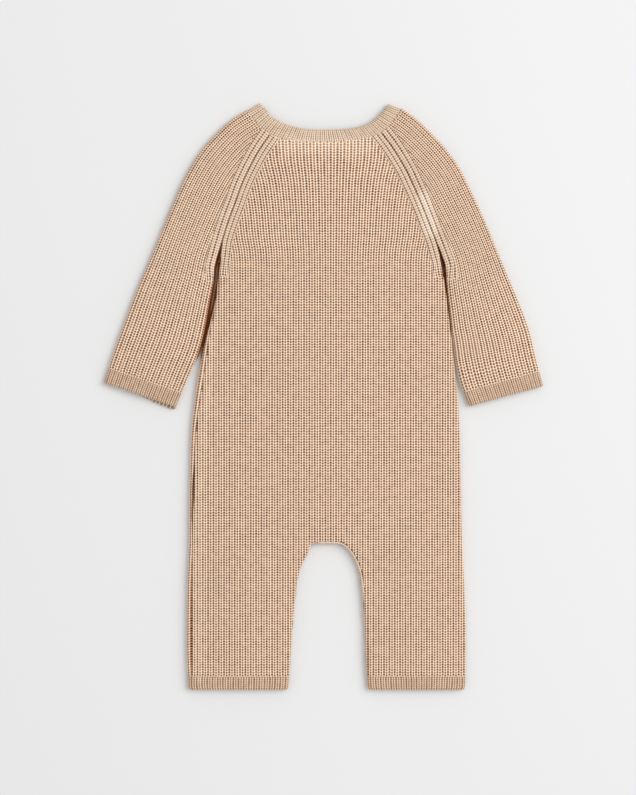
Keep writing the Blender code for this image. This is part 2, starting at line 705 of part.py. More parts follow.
def make_sleeve_and_cuff(side, rows, back_border, front_border):
    """side is -1 for the sleeve at -X and 1 for the one at +X."""
    path = Path(rows)
    name = "left" if side < 0 else "right"

    def tube_at(along):
        return Tube(0.0, path.read(along, "width"))

    def frame_at(along, skin):
        """From a tube's own place, with its width square to the outer fold."""
        ahead = path.ahead(along)
        across = Vector((ahead.y, -ahead.x, 0.0)) * -side
        place = path.at(along) + across * skin.place.x + Vector((0.0, 0.0, skin.place.z))
        return Skin(place, across * skin.inward.x + Vector((0.0, 0.0, skin.inward.z)))

    def border_of(is_upper):
        return back_border if is_upper else front_border

    def top_of(skin_at, is_upper):
        border = border_of(is_upper)
        heights, xs = [spot.y for spot in border], [spot.x for spot in border]

        def inside(along):
            place = skin_at(along).place
            if place.y > heights[-1]:
                return False
            return place.y < UNDERARM or side * (place.x - straight(heights, xs, place.y)) > 0

        return last_inside(inside, CUFF + SLEEVE_STEP, path.length)

    def spots_between(one, two, is_upper):
        low, high = sorted((one.place.y, two.place.y))
        spots = [spot for spot in border_of(is_upper) if low < spot.y < high]
        return spots if one.place.y < two.place.y else spots[::-1]

    count = int(path.length / SLEEVE_STEP)
    marks = [CUFF + SEAM_GAP] + [CUFF + SLEEVE_STEP * index for index in range(1, count)]
    make_tube("sleeve_" + name, SLEEVE_RIBS, RIB_RISE, tube_at, frame_at, marks, BODY_COLOUR,
              top_of, spots_between)
    make_tube("cuff_" + name, CUFF_WALES, WALE_RISE, tube_at, frame_at, (0.0, CUFF), BAND_COLOUR)


def fold_line(end):
    """Outer end of the neckband at a side fold: its free edge, its seam and the way out."""
    edge = Vector((*BACK_NECK_EDGE[end], 0.0))
    seam = Vector((*BACK_NECK_SEAM[end], 0.0))
    along = (seam - edge).normalized()
    out = Vector((-along.y, along.x, 0.0))
    return edge, seam, out if out.y > 0 else -out


def drawn_in(rows):
    """A line of the neckband with both ends drawn in by the fold's radius, to where its bend starts."""
    rows = list(rows)
    for end in (0, -1):
        out = fold_line(end)[2]
        rows[end] = Spot(rows[end].x - out.x * FOLD_RADIUS, rows[end].y - out.y * FOLD_RADIUS)
    return Path(rows)


def make_neckband():
    """A ring: the back half above, the front half below, and a bend at each side fold."""
    knit = Knit("neckband")
    columns = []

    def add(edge, seam, inward, rise=0.0, has_inside=True):
        ends = (edge, seam)     # marks 0 and 1
        columns.append(knit.column((0, 1), lambda mark: Skin(ends[mark], inward), rise, has_inside))

    def add_back():
        edge_path, seam_path = drawn_in(BACK_NECK_EDGE), drawn_in(BACK_NECK_SEAM)
        up = Vector((0.0, 0.0, 2 * FOLD_RADIUS))
        for index in range(2 * NECK_WALES + 1):
            share = index / (2 * NECK_WALES)
            ridge = index % 2 == 1
            add(edge_path.at(share * edge_path.length) + up, seam_path.at(share * seam_path.length) + up,
                Vector((0.0, 0.0, -1.0)), WALE_RISE if ridge else 0.0, has_inside=not ridge)

    def add_front():
        edge_path, seam_path = drawn_in(FRONT_NECK_EDGE), drawn_in(FRONT_NECK_SEAM)
        for index in range(FRONT_NECK_STEPS + 1):
            share = 1 - index / FRONT_NECK_STEPS
            add(edge_path.at(share * edge_path.length), seam_path.at(share * seam_path.length),
                Vector((0.0, 0.0, 1.0)))

    def add_bend(end, downwards):
        edge, seam, out = fold_line(end)
        for step in range(1, 2 * BEND_STEPS):
            turn = math.pi * (0.5 - step / (2 * BEND_STEPS)) * (1 if downwards else -1)
            outward = out * math.cos(turn) + Vector((0.0, 0.0, math.sin(turn)))
            shift = Vector((0.0, 0.0, FOLD_RADIUS)) - out * FOLD_RADIUS + outward * FOLD_RADIUS
            add(edge + shift, seam + shift, -outward)

    add_back()
    add_bend(-1, downwards=True)
    add_front()
    add_bend(0, downwards=False)
    close_tube(knit, columns, [[] for _ in columns], BAND_COLOUR)


def main():
    clear_scene()
    make_back()
    make_front()
    make_sleeve_and_cuff(-1, LEFT_SLEEVE, sleeve_border(LEFT_BACK_SEAM, BACK_NECK_SEAM, -1),
                         sleeve_border(LEFT_FRONT_SEAM, FRONT_NECK_SEAM, -1))
    make_sleeve_and_cuff(1, RIGHT_SLEEVE, sleeve_border(RIGHT_BACK_SEAM, BACK_NECK_SEAM, 1),
                         sleeve_border(RIGHT_FRONT_SEAM, FRONT_NECK_SEAM, 1))
    make_neckband()
    make_hem("leg_hem_left", LEFT_LEG)
    make_hem("leg_hem_right", RIGHT_LEG)


main()
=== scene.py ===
# %% [markdown]
# # A ribbed baby romper, laid flat
# A knitted garment isn't cut from cloth: each piece is knitted to its shape and then linked to the next.
# This lesson lays fine knitted surfaces over the plain solids of a romper that lies on its front, with its
# back upwards. It starts from the packed model, which fixes every place and size.

# %% Load the frame
import math
from collections import namedtuple

import bmesh
import bpy
import numpy as np
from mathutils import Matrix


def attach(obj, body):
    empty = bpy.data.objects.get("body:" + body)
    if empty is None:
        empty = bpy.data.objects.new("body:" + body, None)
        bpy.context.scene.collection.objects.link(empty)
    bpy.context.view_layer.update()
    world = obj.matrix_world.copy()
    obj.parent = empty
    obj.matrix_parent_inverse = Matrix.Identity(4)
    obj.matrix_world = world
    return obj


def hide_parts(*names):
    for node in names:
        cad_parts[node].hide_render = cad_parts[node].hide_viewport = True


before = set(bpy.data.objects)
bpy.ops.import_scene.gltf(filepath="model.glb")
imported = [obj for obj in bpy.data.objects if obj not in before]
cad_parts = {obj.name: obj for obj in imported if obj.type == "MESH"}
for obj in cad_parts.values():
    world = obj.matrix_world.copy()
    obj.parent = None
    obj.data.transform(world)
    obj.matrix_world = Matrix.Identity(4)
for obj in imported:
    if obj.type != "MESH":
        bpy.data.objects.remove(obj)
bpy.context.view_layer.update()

bpy.ops.object.select_all(action="DESELECT")

# %% [markdown]
# ## Sizes of the knit
# A chunky half-cardigan rib has deep furrows between broad wales. Each wale is a column of V stitches, so
# it has two legs that meet at its middle. Four lines of points make one rib: furrow, leg, middle, leg. Two
# rows of points make one row of stitches. These sizes are in millimetres, as is everything up to the
# finished meshes.

# %% Sizes
MM = 0.001
WALL = 2.2              # thickness of the knit, at the bottom of a furrow
FOLD_RADIUS = 3.0       # outside of the bend where cloth turns under at an edge
TOP_LIE = 2 * FOLD_RADIUS
ROW = 2.37              # one row of stitches on the body
LEG_ROW = 2.30          # and on the legs, where the rows lie a little closer
FINE_ROW = 1.9          # and in the neckband, cuffs and hems
RIB = 4.8               # from furrow to furrow, on the body and the legs
FURROW_AT = 2.1         # one furrow of the back runs here
POINTS_A_RIB = 4
TUCK = 0.12             # half of the gap between two pieces at a seam

print("in 100 mm: ribs", round(100 / RIB, 1), "and rows", round(100 / ROW, 1))

# %% [markdown]
# ## The outline
# The tables give the edges of the body and the legs at the heights where they turn. They repeat the sizes
# of the solids, so the knit lies exactly where those are. The wearer's left is at -X, because the garment
# is seen from its back.

# %% Tables of the outline
HEM = -264.6            # free edge of both legs
HEM_JOINT = -252.9      # top of the ribbed hem
CROTCH = -133.2
UNDERARM = 120.6
FULL_SPREAD = -55.0     # above this the ribs are evenly spaced across the body
ABOVE_NECK = 245.0
LEVELLING = 8.0         # above the underarm the side bend flattens out in this height
BODY_MIDDLE = 6.7
UNDERLAP = 0.8          # a cuff, hem or neckband reaches this far under the piece it is linked to


def table(kind, *rows):
    """Rows of a kind, with its named columns."""
    return [kind(*row) for row in rows]


Body = namedtuple("Body", "height left right turned_up")
BODY = table(Body,  # turned_up: the front comes this far round the left edge, onto the top
    (CROTCH, -120.2, 125.5, 5.0), (-100.8, -120.0, 124.6, 5.0), (-57.5, -119.0, 123.8, 5.2),
    (-30.6, -118.0, 122.9, 5.6), (-3.6, -115.0, 121.4, 6.0), (23.4, -111.0, 118.5, 6.2),
    (50.4, -105.6, 115.7, 4.5), (86.4, -96.6, 111.6, 1.2), (UNDERARM, -93.4, 106.9, 0.4),
)
Leg = namedtuple("Leg", "height left right")
LEFT_LEG = table(Leg,
    (HEM, -120.0, -32.0), (-262.0, -121.2, -31.2), (HEM_JOINT, -121.4, -30.6), (-233.0, -122.2, -29.3),
    (-201.6, -122.2, -27.2), (-174.6, -121.8, -24.2), (-156.6, -121.2, -20.8), (-147.6, -120.8, -16.8),
    (-139.5, -120.4, -12.8), (CROTCH, -120.2, -11.8),
)
RIGHT_LEG = table(Leg,
    (HEM, 41.4, 127.0), (-262.0, 40.4, 128.0), (HEM_JOINT, 39.8, 128.4), (-233.0, 38.7, 128.7),
    (-201.6, 37.4, 128.4), (-174.6, 35.1, 127.4), (-156.6, 32.2, 126.6), (-147.6, 28.6, 126.1),
    (-139.5, 23.6, 125.8), (CROTCH, 17.6, 125.5),
)
Fan = namedtuple("Fan", "height spread")
FAN = table(Fan,  # the ribs open out above the underarm, by this factor
    (UNDERARM, 1.0), (130.0, 1.01), (145.0, 1.045), (165.0, 1.075), (180.0, 1.11), (194.0, 1.155),
    (215.0, 1.26), (ABOVE_NECK, 1.31),
)
print("rows of stitches up one leg:", round((CROTCH - HEM_JOINT) / LEG_ROW))

# %% [markdown]
# ## How the upper layer lies
# Two layers of thick knit trap air, so the upper one swells a little over the body, the legs and the
# sleeves, and it sinks along the seams. A table of soft ridges and troughs, each along a short line, gives
# that lie. Two more tables of the same kind say where the ribs are pressed flatter, and where two pieces
# lie so close that the gap between them is dark, which is painted in as shade. Down in such a gap the lower
# layer flares out past its fold.

# %% Swells and creases
Patch = namedtuple("Patch", "x1 y1 x2 y2 reach rise")      # full on its line, nothing at its reach
SWELLS = table(Patch,
    (4.0, 150.0, 4.0, -85.0, 92.0, 1.9),        # body
    (-76.0, -150.0, -76.0, -235.0, 44.0, 1.5),  # left leg
    (83.0, -150.0, 84.0, -235.0, 44.0, 1.5),    # right leg
    (-158.0, 25.0, -124.0, 110.0, 34.0, 1.6),   # left sleeve
    (-116.0, 135.0, -92.0, 205.0, 30.0, 1.2),
    (158.0, 25.0, 138.0, 95.0, 34.0, 1.6),      # right sleeve
    (124.0, 130.0, 94.0, 205.0, 26.0, 1.3),
    (58.0, 231.0, 80.0, 193.0, 7.0, -1.0),      # groove beside the right raglan
    (80.0, 193.0, 94.0, 158.0, 8.0, -0.6),
    (-93.0, 118.0, -96.0, 150.0, 12.0, -0.7),   # hollow above the left underarm
    (107.0, 112.0, 103.0, 150.0, 10.0, -0.6),   # and above the right one
    (120.0, 45.0, 133.0, 38.0, 9.0, -0.6),      # wrinkle across the right sleeve
    (-140.0, 38.0, -120.0, 26.0, 12.0, 0.5),    # slack at the left cuff
)
PRESSED = table(Patch,  # places where the ribs are pressed flatter, by this share
    (-96.0, 70.0, -104.0, 0.0, 5.5, -0.20),      # beside the left side seam
    (-104.0, 0.0, -110.0, -80.0, 5.5, -0.20),
    (-110.0, -80.0, -111.0, -255.0, 5.5, -0.18),
    (91.0, 178.0, 97.0, 150.0, 9.0, -0.3),       # on the right sleeve beside its seam
    (-32.0, 226.0, 38.0, 226.0, 16.0, -0.4),     # below the neckband, where the ribs are stretched
)
PAINTED_CREVICE_SHADE = table(Patch,  # painted shade where two pieces lie so close that no light gets down between them
    (-92.0, 136.0, -94.5, 119.0, 5.0, 1.2),
    (103.0, 134.0, 106.5, 119.0, 5.0, 1.1),
    (106.5, 119.0, 111.5, 92.0, 5.5, 1.1),
    (111.5, 92.0, 115.5, 60.0, 5.0, 0.8),
    (-94.5, 119.0, -99.5, 92.0, 6.5, 1.3),       # between the left sleeve and the side
    (-99.5, 92.0, -105.0, 66.0, 6.5, 1.3),
    (-105.0, 66.0, -111.5, 36.0, 6.0, 1.0),
)
Flare = namedtuple("Flare", "height reach")
FLARE = table(Flare,  # between the left sleeve and the side, the lower layer reaches this far past the fold
    (14.0, 0.0), (28.0, 0.8), (42.0, 2.2), (60.0, 3.0), (90.0, 2.6), (108.0, 1.6), (UNDERARM, 1.6),
    (127.0, 1.4), (135.0, 0.0),
)
RIGHT_FLARE = table(Flare,  # and the right sleeve's, towards the right side
    (44.0, 0.0), (60.0, 1.4), (75.0, 2.4), (95.0, 2.8), (110.0, 2.2), (126.0, 0.5),
)
LEAST_DEPTH = 0.25      # a pressed rib keeps at least this share of its depth
CREVICE_TOP = 5.6       # painted shade darkens a crevice below this height
CREVICE_FADE = 2.5      # and is at its darkest this much lower
FLOOR_CLEAR = 0.25      # what rests on the floor isn't darkened


def ridges(patches, x, y):
    """Height of soft ridges and troughs, each along a short line, at arrays of places."""
    total = np.zeros(np.broadcast(x, y).shape)
    for patch in patches:
        run_x, run_y = patch.x2 - patch.x1, patch.y2 - patch.y1
        t = np.clip(((x - patch.x1) * run_x + (y - patch.y1) * run_y) / (run_x ** 2 + run_y ** 2), 0.0, 1.0)
        away = np.hypot(x - patch.x1 - t * run_x, y - patch.y1 - t * run_y) / patch.reach
        total += patch.rise * (0.5 + 0.5 * np.cos(np.pi * np.minimum(away, 1.0)))
    return total


def lift(x, y):
    """How far the upper layer stands above its lowest lie."""
    return ridges(SWELLS, x, y)


def swell(inward_z, x, y):
    """The same for skin that may turn down: none of it underneath."""
    return np.maximum(0.0, -inward_z) * lift(x, y)


def depth_at(x, y, z):
    """How deep the stitches are: 1, less where the ribs are pressed, and up to 2 where shade is painted into
    a crevice.
    """
    painted_shade_and_darkening = np.clip(ridges(PAINTED_CREVICE_SHADE, x, y), 0.0, 1.0)
    painted_shade_and_darkening = painted_shade_and_darkening * ease((CREVICE_TOP - z) / CREVICE_FADE) * ease(z / FLOOR_CLEAR)
    return np.clip(1 + ridges(PRESSED, x, y), LEAST_DEPTH, 1.0) + painted_shade_and_darkening


def flared(height, up, rows):
    """How far the lower half of a fold is pushed out, at heights and at places up."""
    reach = read(rows, height, "reach")
    below = np.clip(1 - up / FOLD_RADIUS, 0.0, 1.0)
    return ease(reach) * FOLD_RADIUS * (1 - np.sqrt(1 - below ** 2)) + reach * below


print("the highest swell in the table, mm:", max(patch.rise for patch in SWELLS))

# %% [markdown]
# ## Smooth lines from a few rows
# A table needs few rows if the line between them is smooth. The slope at each row comes from its
# neighbours, and a cubic joins the rows, so an edge bends gently and passes through every place in the
# table.

# %% Read the tables
Spot = namedtuple("Spot", "x y")


def values(rows, name):
    """One column of a table."""
    return np.array([getattr(row, name) for row in rows], dtype=float)


def smooth(marks, heights, at):
    """Values at some marks, on the smooth curve through a table."""
    at = np.clip(at, marks[0], marks[-1])
    slope = np.empty(len(marks))
    slope[1:-1] = (heights[2:] - heights[:-2]) / (marks[2:] - marks[:-2])
    slope[0] = (heights[1] - heights[0]) / (marks[1] - marks[0])
    slope[-1] = (heights[-1] - heights[-2]) / (marks[-1] - marks[-2])
    low = np.clip(np.searchsorted(marks, at, side="right") - 1, 0, len(marks) - 2)
    span = marks[low + 1] - marks[low]
    t = (at - marks[low]) / span
    start = (1 + 2 * t) * (1 - t) ** 2 * heights[low] + t * (1 - t) ** 2 * span * slope[low]
    end = t * t * (3 - 2 * t) * heights[low + 1] - t * t * (1 - t) * span * slope[low + 1]
    return start + end


def read(rows, height, name):
    """A column's values at some heights."""
    return smooth(values(rows, "height"), values(rows, name), height)


def ease(t):
    t = np.clip(t, 0.0, 1.0)
    return t * t * (3 - 2 * t)


class Line:
    """A smooth line through chosen places, walked by distance."""

    def __init__(self, rows):
        self.rows = rows
        steps = np.hypot(np.diff(values(rows, "x")), np.diff(values(rows, "y")))
        self.marks = np.concatenate([[0.0], np.cumsum(steps)])
        self.length = self.marks[-1]

    def read(self, distance, name):
        return smooth(self.marks, values(self.rows, name), distance)

    def at(self, distance):
        return np.stack([self.read(distance, "x"), self.read(distance, "y")], axis=-1)

    def ahead(self, distance):
        """Direction of travel."""
        step = 2.0
        low, high = np.maximum(distance - step, 0.0), np.minimum(distance + step, self.length)
        run = self.at(high) - self.at(low)
        return run / np.linalg.norm(run, axis=-1, keepdims=True)


def rightwards(ahead):
    """The way square to directions of travel, to their right."""
    return np.stack([ahead[:, 1], -ahead[:, 0]], axis=-1)


def stretched(rows, before, after):
    """A line's rows with one more place, straight on from each end."""
    def beyond(end, neighbour, distance):
        run = np.array([end.x - neighbour.x, end.y - neighbour.y])
        run = run / np.hypot(*run) * distance
        return Spot(end.x + run[0], end.y + run[1])
    return [beyond(rows[0], rows[1], before)] + list(rows) + [beyond(rows[-1], rows[-2], after)]


def beside(rows, distance, count=60):
    """Places at a distance to the right of a line, walked from its first row."""
    line = Line(rows)
    marks = np.linspace(0.0, line.length, count)
    return line.at(marks) + distance * rightwards(line.ahead(marks))


print("width of the body at y = 0, mm:", round(float(read(BODY, 0.0, "right") - read(BODY, 0.0, "left")), 1))

# %% [markdown]
# ## A flat tube
# A sleeve, a leg or the body that lies flat is a tube pressed to two layers, with a bend at each edge. A
# place round it is a distance from the left edge: positive over the top, negative underneath.

# %% Flat tube
class Tube:
    """A flat tube at several heights at once; left and right are arrays."""

    def __init__(self, left, right):
        self.left, self.right = np.asarray(left, float), np.asarray(right, float)
        self.quarter = FOLD_RADIUS * math.pi / 2
        self.flat = self.right - self.left - 2 * FOLD_RADIUS
        self.half = self.flat + 2 * self.quarter

    def skin(self, around):
        """Across, up, and the way into the cloth (across, up) at a distance round the tube."""
        side = np.where(around >= 0, 1.0, -1.0)
        away = np.abs(around)
        past = away > self.half
        side = np.where(past, -side, side)
        away = np.where(past, 2 * self.half - away, away)
        near = np.clip(away / FOLD_RADIUS, 0.0, math.pi / 2)
        far = np.clip((self.half - away) / FOLD_RADIUS, 0.0, math.pi / 2)
        turn = np.minimum(near, far)
        across = np.where(near < far, self.left + FOLD_RADIUS * (1 - np.cos(near)),
                          self.right - FOLD_RADIUS * (1 - np.cos(far)))
        on_flat = (near >= math.pi / 2) & (far >= math.pi / 2)
        across = np.where(on_flat, self.left + FOLD_RADIUS + away - self.quarter, across)
        bend = np.where(on_flat, 0.0, np.where(near < far, 1.0, -1.0))
        up = FOLD_RADIUS + side * FOLD_RADIUS * np.sin(turn)
        return across, up, bend * np.cos(turn), -side * np.sin(turn)

    def over(self, across):
        """Distance round to a place on the flat of the top."""
        return self.quarter + across - self.left - FOLD_RADIUS


print("half of the way round a sleeve 70 mm wide, mm:", round(float(Tube(0.0, 70.0).half), 1))

# %% [markdown]
# ## The height of a stitch
# Along a furrow the cloth goes down deep between two rows, and the legs of a stitch stand up. The middle of
# a V lies between them, and a stitch hangs down towards its middle, so there the rows are a little later.

# %% Relief
Relief = namedtuple("Relief", "furrow leg middle furrow_dip leg_dip middle_dip")   # a dip is at the joint
CHUNKY = Relief(furrow=-0.10, leg=0.95, middle=0.50, furrow_dip=1.20, leg_dip=0.50, middle_dip=0.60)
FINE = Relief(furrow=-0.30, leg=0.45, middle=0.10, furrow_dip=0.20, leg_dip=0.12, middle_dip=0.12)
LEG_LAG, MIDDLE_LAG = 0.27, 0.36      # a stitch hangs down by this share of a row there


def rises(relief, kind, marks):
    """Height of a chain's points: low at the holes between stitches, high on the stitches."""
    crest, dip, lag = ((relief.furrow, relief.furrow_dip, 0.0), (relief.leg, relief.leg_dip, LEG_LAG),
                       (relief.middle, relief.middle_dip, MIDDLE_LAG),
                       (relief.leg, relief.leg_dip, LEG_LAG))[kind]
    return crest - dip * (0.5 + 0.5 * np.cos(2 * np.pi * (np.asarray(marks, float) / 2 + lag)))


crests = [round(float(rises(CHUNKY, kind, [0.5])[0]), 2) for kind in range(POINTS_A_RIB)]
print("rise across one rib a quarter of a row up, mm:", crests)

# %% [markdown]
# ## Weaving a shell
# A piece of knit is a wall with an outside and an inside. The outside is fine: chains of points run along
# the ribs, and the strip between two chains is woven by always stepping to the nearer next mark, so chains
# that start or end at different places still close. The inside is plain, and needs only some chains and a
# few points.

# %% The cloth builder
Chain = namedtuple("Chain", "outer inner")      # lists of (mark, point)
INNER_STEP = 8                                  # the inside has a point at every eighth mark


class Cloth:
    """One knitted piece, as closed shells of woven chains."""

    def __init__(self):
        self.points, self.stitch, self.depth, self.faces = [], [], [], []
        self.count = 0

    def add(self, places, stitch, depth):
        """Add points with their places in the stitch pattern, and return their numbers."""
        self.points.append(places)
        self.stitch.append(stitch)
        self.depth.append(depth)
        self.count += len(places)
        return range(self.count - len(places), self.count)

    def chain(self, marks, skin, rise, rib, backed=True, keep=(), shade=0.0):
        """Outer points at every mark, and inner points at the ends, at some marks and at those to keep."""
        place, inward = skin
        marks = np.asarray(marks, float)
        stitch = np.stack([np.zeros(len(marks)) + rib, marks / 2], axis=-1)
        showing = ease((0.6 - inward[:, 2]) / 1.2)      # no relief where the skin turns down to the floor
        # the stitches' depth, plus painted shade in crevices and the chain's own shade, which darkens it
        depth = depth_at(*place.T) + shade
        outer = self.add(place - inward * (rise * np.minimum(depth, 1.0) * showing)[:, None], stitch, depth)
        inner = None
        if backed:
            chosen = (np.arange(len(marks)) % INNER_STEP == 0) | np.isin(marks, keep)
            chosen[[0, -1]] = True
            ids = self.add(place[chosen] + inward[chosen] * WALL, stitch[chosen], depth[chosen])
            inner = list(zip(marks[chosen], ids))
        return Chain(list(zip(marks, outer)), inner)

    def weave(self, one, two):
        """Fill the strip between two lists of (mark, point)."""
        i = j = 0
        while i < len(one) - 1 or j < len(two) - 1:
            next_one = one[i + 1][0] if i < len(one) - 1 else math.inf
            next_two = two[j + 1][0] if j < len(two) - 1 else math.inf
            if next_one == next_two:
                self.faces.append((one[i][1], two[j][1], two[j + 1][1], one[i + 1][1]))
                i, j = i + 1, j + 1
            elif next_one < next_two:
                self.faces.append((one[i][1], two[j][1], one[i + 1][1]))
                i += 1
            else:
                self.faces.append((one[i][1], two[j][1], two[j + 1][1]))
                j += 1

    def skins(self, chains, low=-math.inf):
        """Fill the outside and the inside between chains, from a height mark upwards."""
        def above(part):
            return [pair for pair in part if pair[0] >= low]
        for one, two in zip(chains, chains[1:]):
            self.weave(above(one.outer), above(two.outer))
        backed = [chain for chain in chains if chain.inner]
        for one, two in zip(backed, backed[1:]):
            self.weave(above(two.inner), above(one.inner))

    def rim(self, chains, end=0, low=None):
        """Close the wall across the chains' ends, or across the first points from a height mark."""
        def pick(part):
            return next(pair for pair in part if pair[0] >= low) if low is not None else part[end]
        outer = [(index, pick(chain.outer)[1]) for index, chain in enumerate(chains)]
        inner = [(index, pick(chain.inner)[1]) for index, chain in enumerate(chains) if chain.inner]
        self.weave(outer, inner)

    def shell(self, chains, closed=False):
        """A whole strip or tube of chains, with its rims."""
        chains = chains + chains[:1] if closed else chains
        self.skins(chains)
        self.rim(chains, 0)
        self.rim(chains, -1)
        if not closed:
            self.weave(chains[0].outer, chains[0].inner)
            self.weave(chains[-1].outer, chains[-1].inner)

    def finish(self, name, finish, slot, node, ribs_round=None):
        """Make the mesh in metres, with the stitch pattern as its UV map, and hand it to the frame."""
        mesh = bpy.data.meshes.new(name)
        mesh.from_pydata((np.concatenate(self.points) * MM).tolist(), [], self.faces)
        shaped = bmesh.new()
        shaped.from_mesh(mesh)
        bmesh.ops.recalc_face_normals(shaped, faces=shaped.faces)
        shaped.to_mesh(mesh)
        shaped.free()
        mesh.shade_smooth()
        corners = np.empty(len(mesh.loops), dtype=np.int32)
        mesh.loops.foreach_get("vertex_index", corners)
        stitch = np.concatenate(self.stitch)[corners]
        if ribs_round:      # where a tube closes, its ribs count on instead of starting again
            starts = np.empty(len(mesh.polygons), dtype=np.int32)
            mesh.polygons.foreach_get("loop_start", starts)
            most = np.maximum.reduceat(stitch[:, 0], starts)
            owner = np.searchsorted(starts, np.arange(len(stitch)), side="right") - 1
            stitch[:, 0] += ribs_round * (most[owner] - stitch[:, 0] > ribs_round / 2)
        layer = mesh.uv_layers.new(name="stitch")
        layer.data.foreach_set("uv", stitch.ravel())
        depth = mesh.attributes.new("depth", "FLOAT", "POINT")
        depth.data.foreach_set("value", np.concatenate(self.depth))
        mesh.materials.append(finish)
        knitted = bpy.data.objects.new(name, mesh)
        bpy.context.collection.objects.link(knitted)
        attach(knitted, "root")
        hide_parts(node)
        triangles = sum(len(face) - 2 for face in self.faces)
        skin_area = sum(polygon.area for polygon in mesh.polygons) / 2
        print(f"{name}: {triangles} triangles, half of its skin {skin_area:.4f} m2")
        return knitted


print("one point of the inside for every", INNER_STEP, "marks outside")

# %% [markdown]
# ## Shader maths as expressions
# A knit finish is mostly sums: how far across a rib, how far along a stitch. This small class wraps a
# node's socket, so that such a sum is written as plain arithmetic and each operator adds its Math node.

# %% Sockets that add up
class Sum:
    """A number in a material that can be added, multiplied and compared."""

    def __init__(self, finish, socket):
        self.finish, self.socket = finish, socket

    def _math(self, operation, first, second):
        return self.finish.node("ShaderNodeMath", {"operation": operation}, {0: first, 1: second})

    def __add__(self, other): return self._math("ADD", self, other)
    def __radd__(self, other): return self._math("ADD", other, self)
    def __sub__(self, other): return self._math("SUBTRACT", self, other)
    def __rsub__(self, other): return self._math("SUBTRACT", other, self)
    def __mul__(self, other): return self._math("MULTIPLY", self, other)
    def __rmul__(self, other): return self._math("MULTIPLY", other, self)
    def fraction(self): return self._math("FRACT", self, 0.0)
    def size(self): return self._math("ABSOLUTE", self, 0.0)
    def sine(self): return self._math("SINE", self, 0.0)

    def between(self, low, high):
        """0 at low, 1 at high, eased."""
        settings = {"interpolation_type": "SMOOTHSTEP"}
        return self.finish.node("ShaderNodeMapRange", settings, {0: self, 1: low, 2: high})


class Finish:
    """A node material, built up call by call."""

    def __init__(self, name):
        self.material = bpy.data.materials.new(name)
        self.material.use_nodes = True
        self.tree = self.material.node_tree
        self.shader = self.tree.nodes["Principled BSDF"]

    def set(self, socket, value):
        if isinstance(value, Sum):
            self.tree.links.new(value.socket, socket)
        else:
            socket.default_value = value

    def node(self, kind, settings, inputs, output=0):
        """Add any node: its settings first, then the values or links of its sockets."""
        made = self.tree.nodes.new(kind)
        for name, value in settings.items():
            setattr(made, name, value)
        for name, value in inputs.items():
            self.set(made.inputs[name], value)
        return Sum(self, made.outputs[output])

    def mix(self, share, one, two):
        """A colour between two."""
        return self.node("ShaderNodeMix", {"data_type": "RGBA"}, {0: share, 6: one, 7: two}, output=2)

    def noise(self, place, scale, detail):
        return self.node("ShaderNodeTexNoise", {}, {"Vector": place, "Scale": scale, "Detail": detail})

    def surface(self, settings):
        """Set or link the shader's own sockets."""
        for name, value in settings.items():
            self.set(self.shader.inputs[name], value)


print("beside arithmetic, a socket has:", [name for name in vars(Sum) if not name.startswith("_")])

# %% [markdown]
# ## The knit's finish
# Carded cotton yarn is matt, a little fuzzy, and uneven in tone. In each stitch the two legs catch the
# light, and the holes at the furrows and at the middle of the V are deep. The mesh carries the large
# relief, and the finish adds what is finer than a point of the mesh: painted shade in the holes and at the
# sides of each leg, a paler lit crest, the round of each leg and the twist of the ply.

# %% Knit finish
# dash: how dark the painted shade along a furrow is between its holes; warm: how much browner crevice shade
# is painted
# pale is the lit crest of a leg; tan is painted shade at its sides and near a hole; deep is painted shade in
# holes and crevices
Yarn = namedtuple("Yarn", "pale tan deep dash warm")
BEIGE = Yarn(pale=(1.0, 0.94, 0.81, 1), tan=(0.75, 0.29, 0.05, 1), deep=(0.11, 0.022, 0.002, 1),
             dash=0.28, warm=0.9)
FINE_BEIGE = Yarn(pale=(0.92, 0.83, 0.70, 1), tan=(0.71, 0.49, 0.32, 1), deep=(0.33, 0.165, 0.08, 1),
                  dash=0.60, warm=0.0)


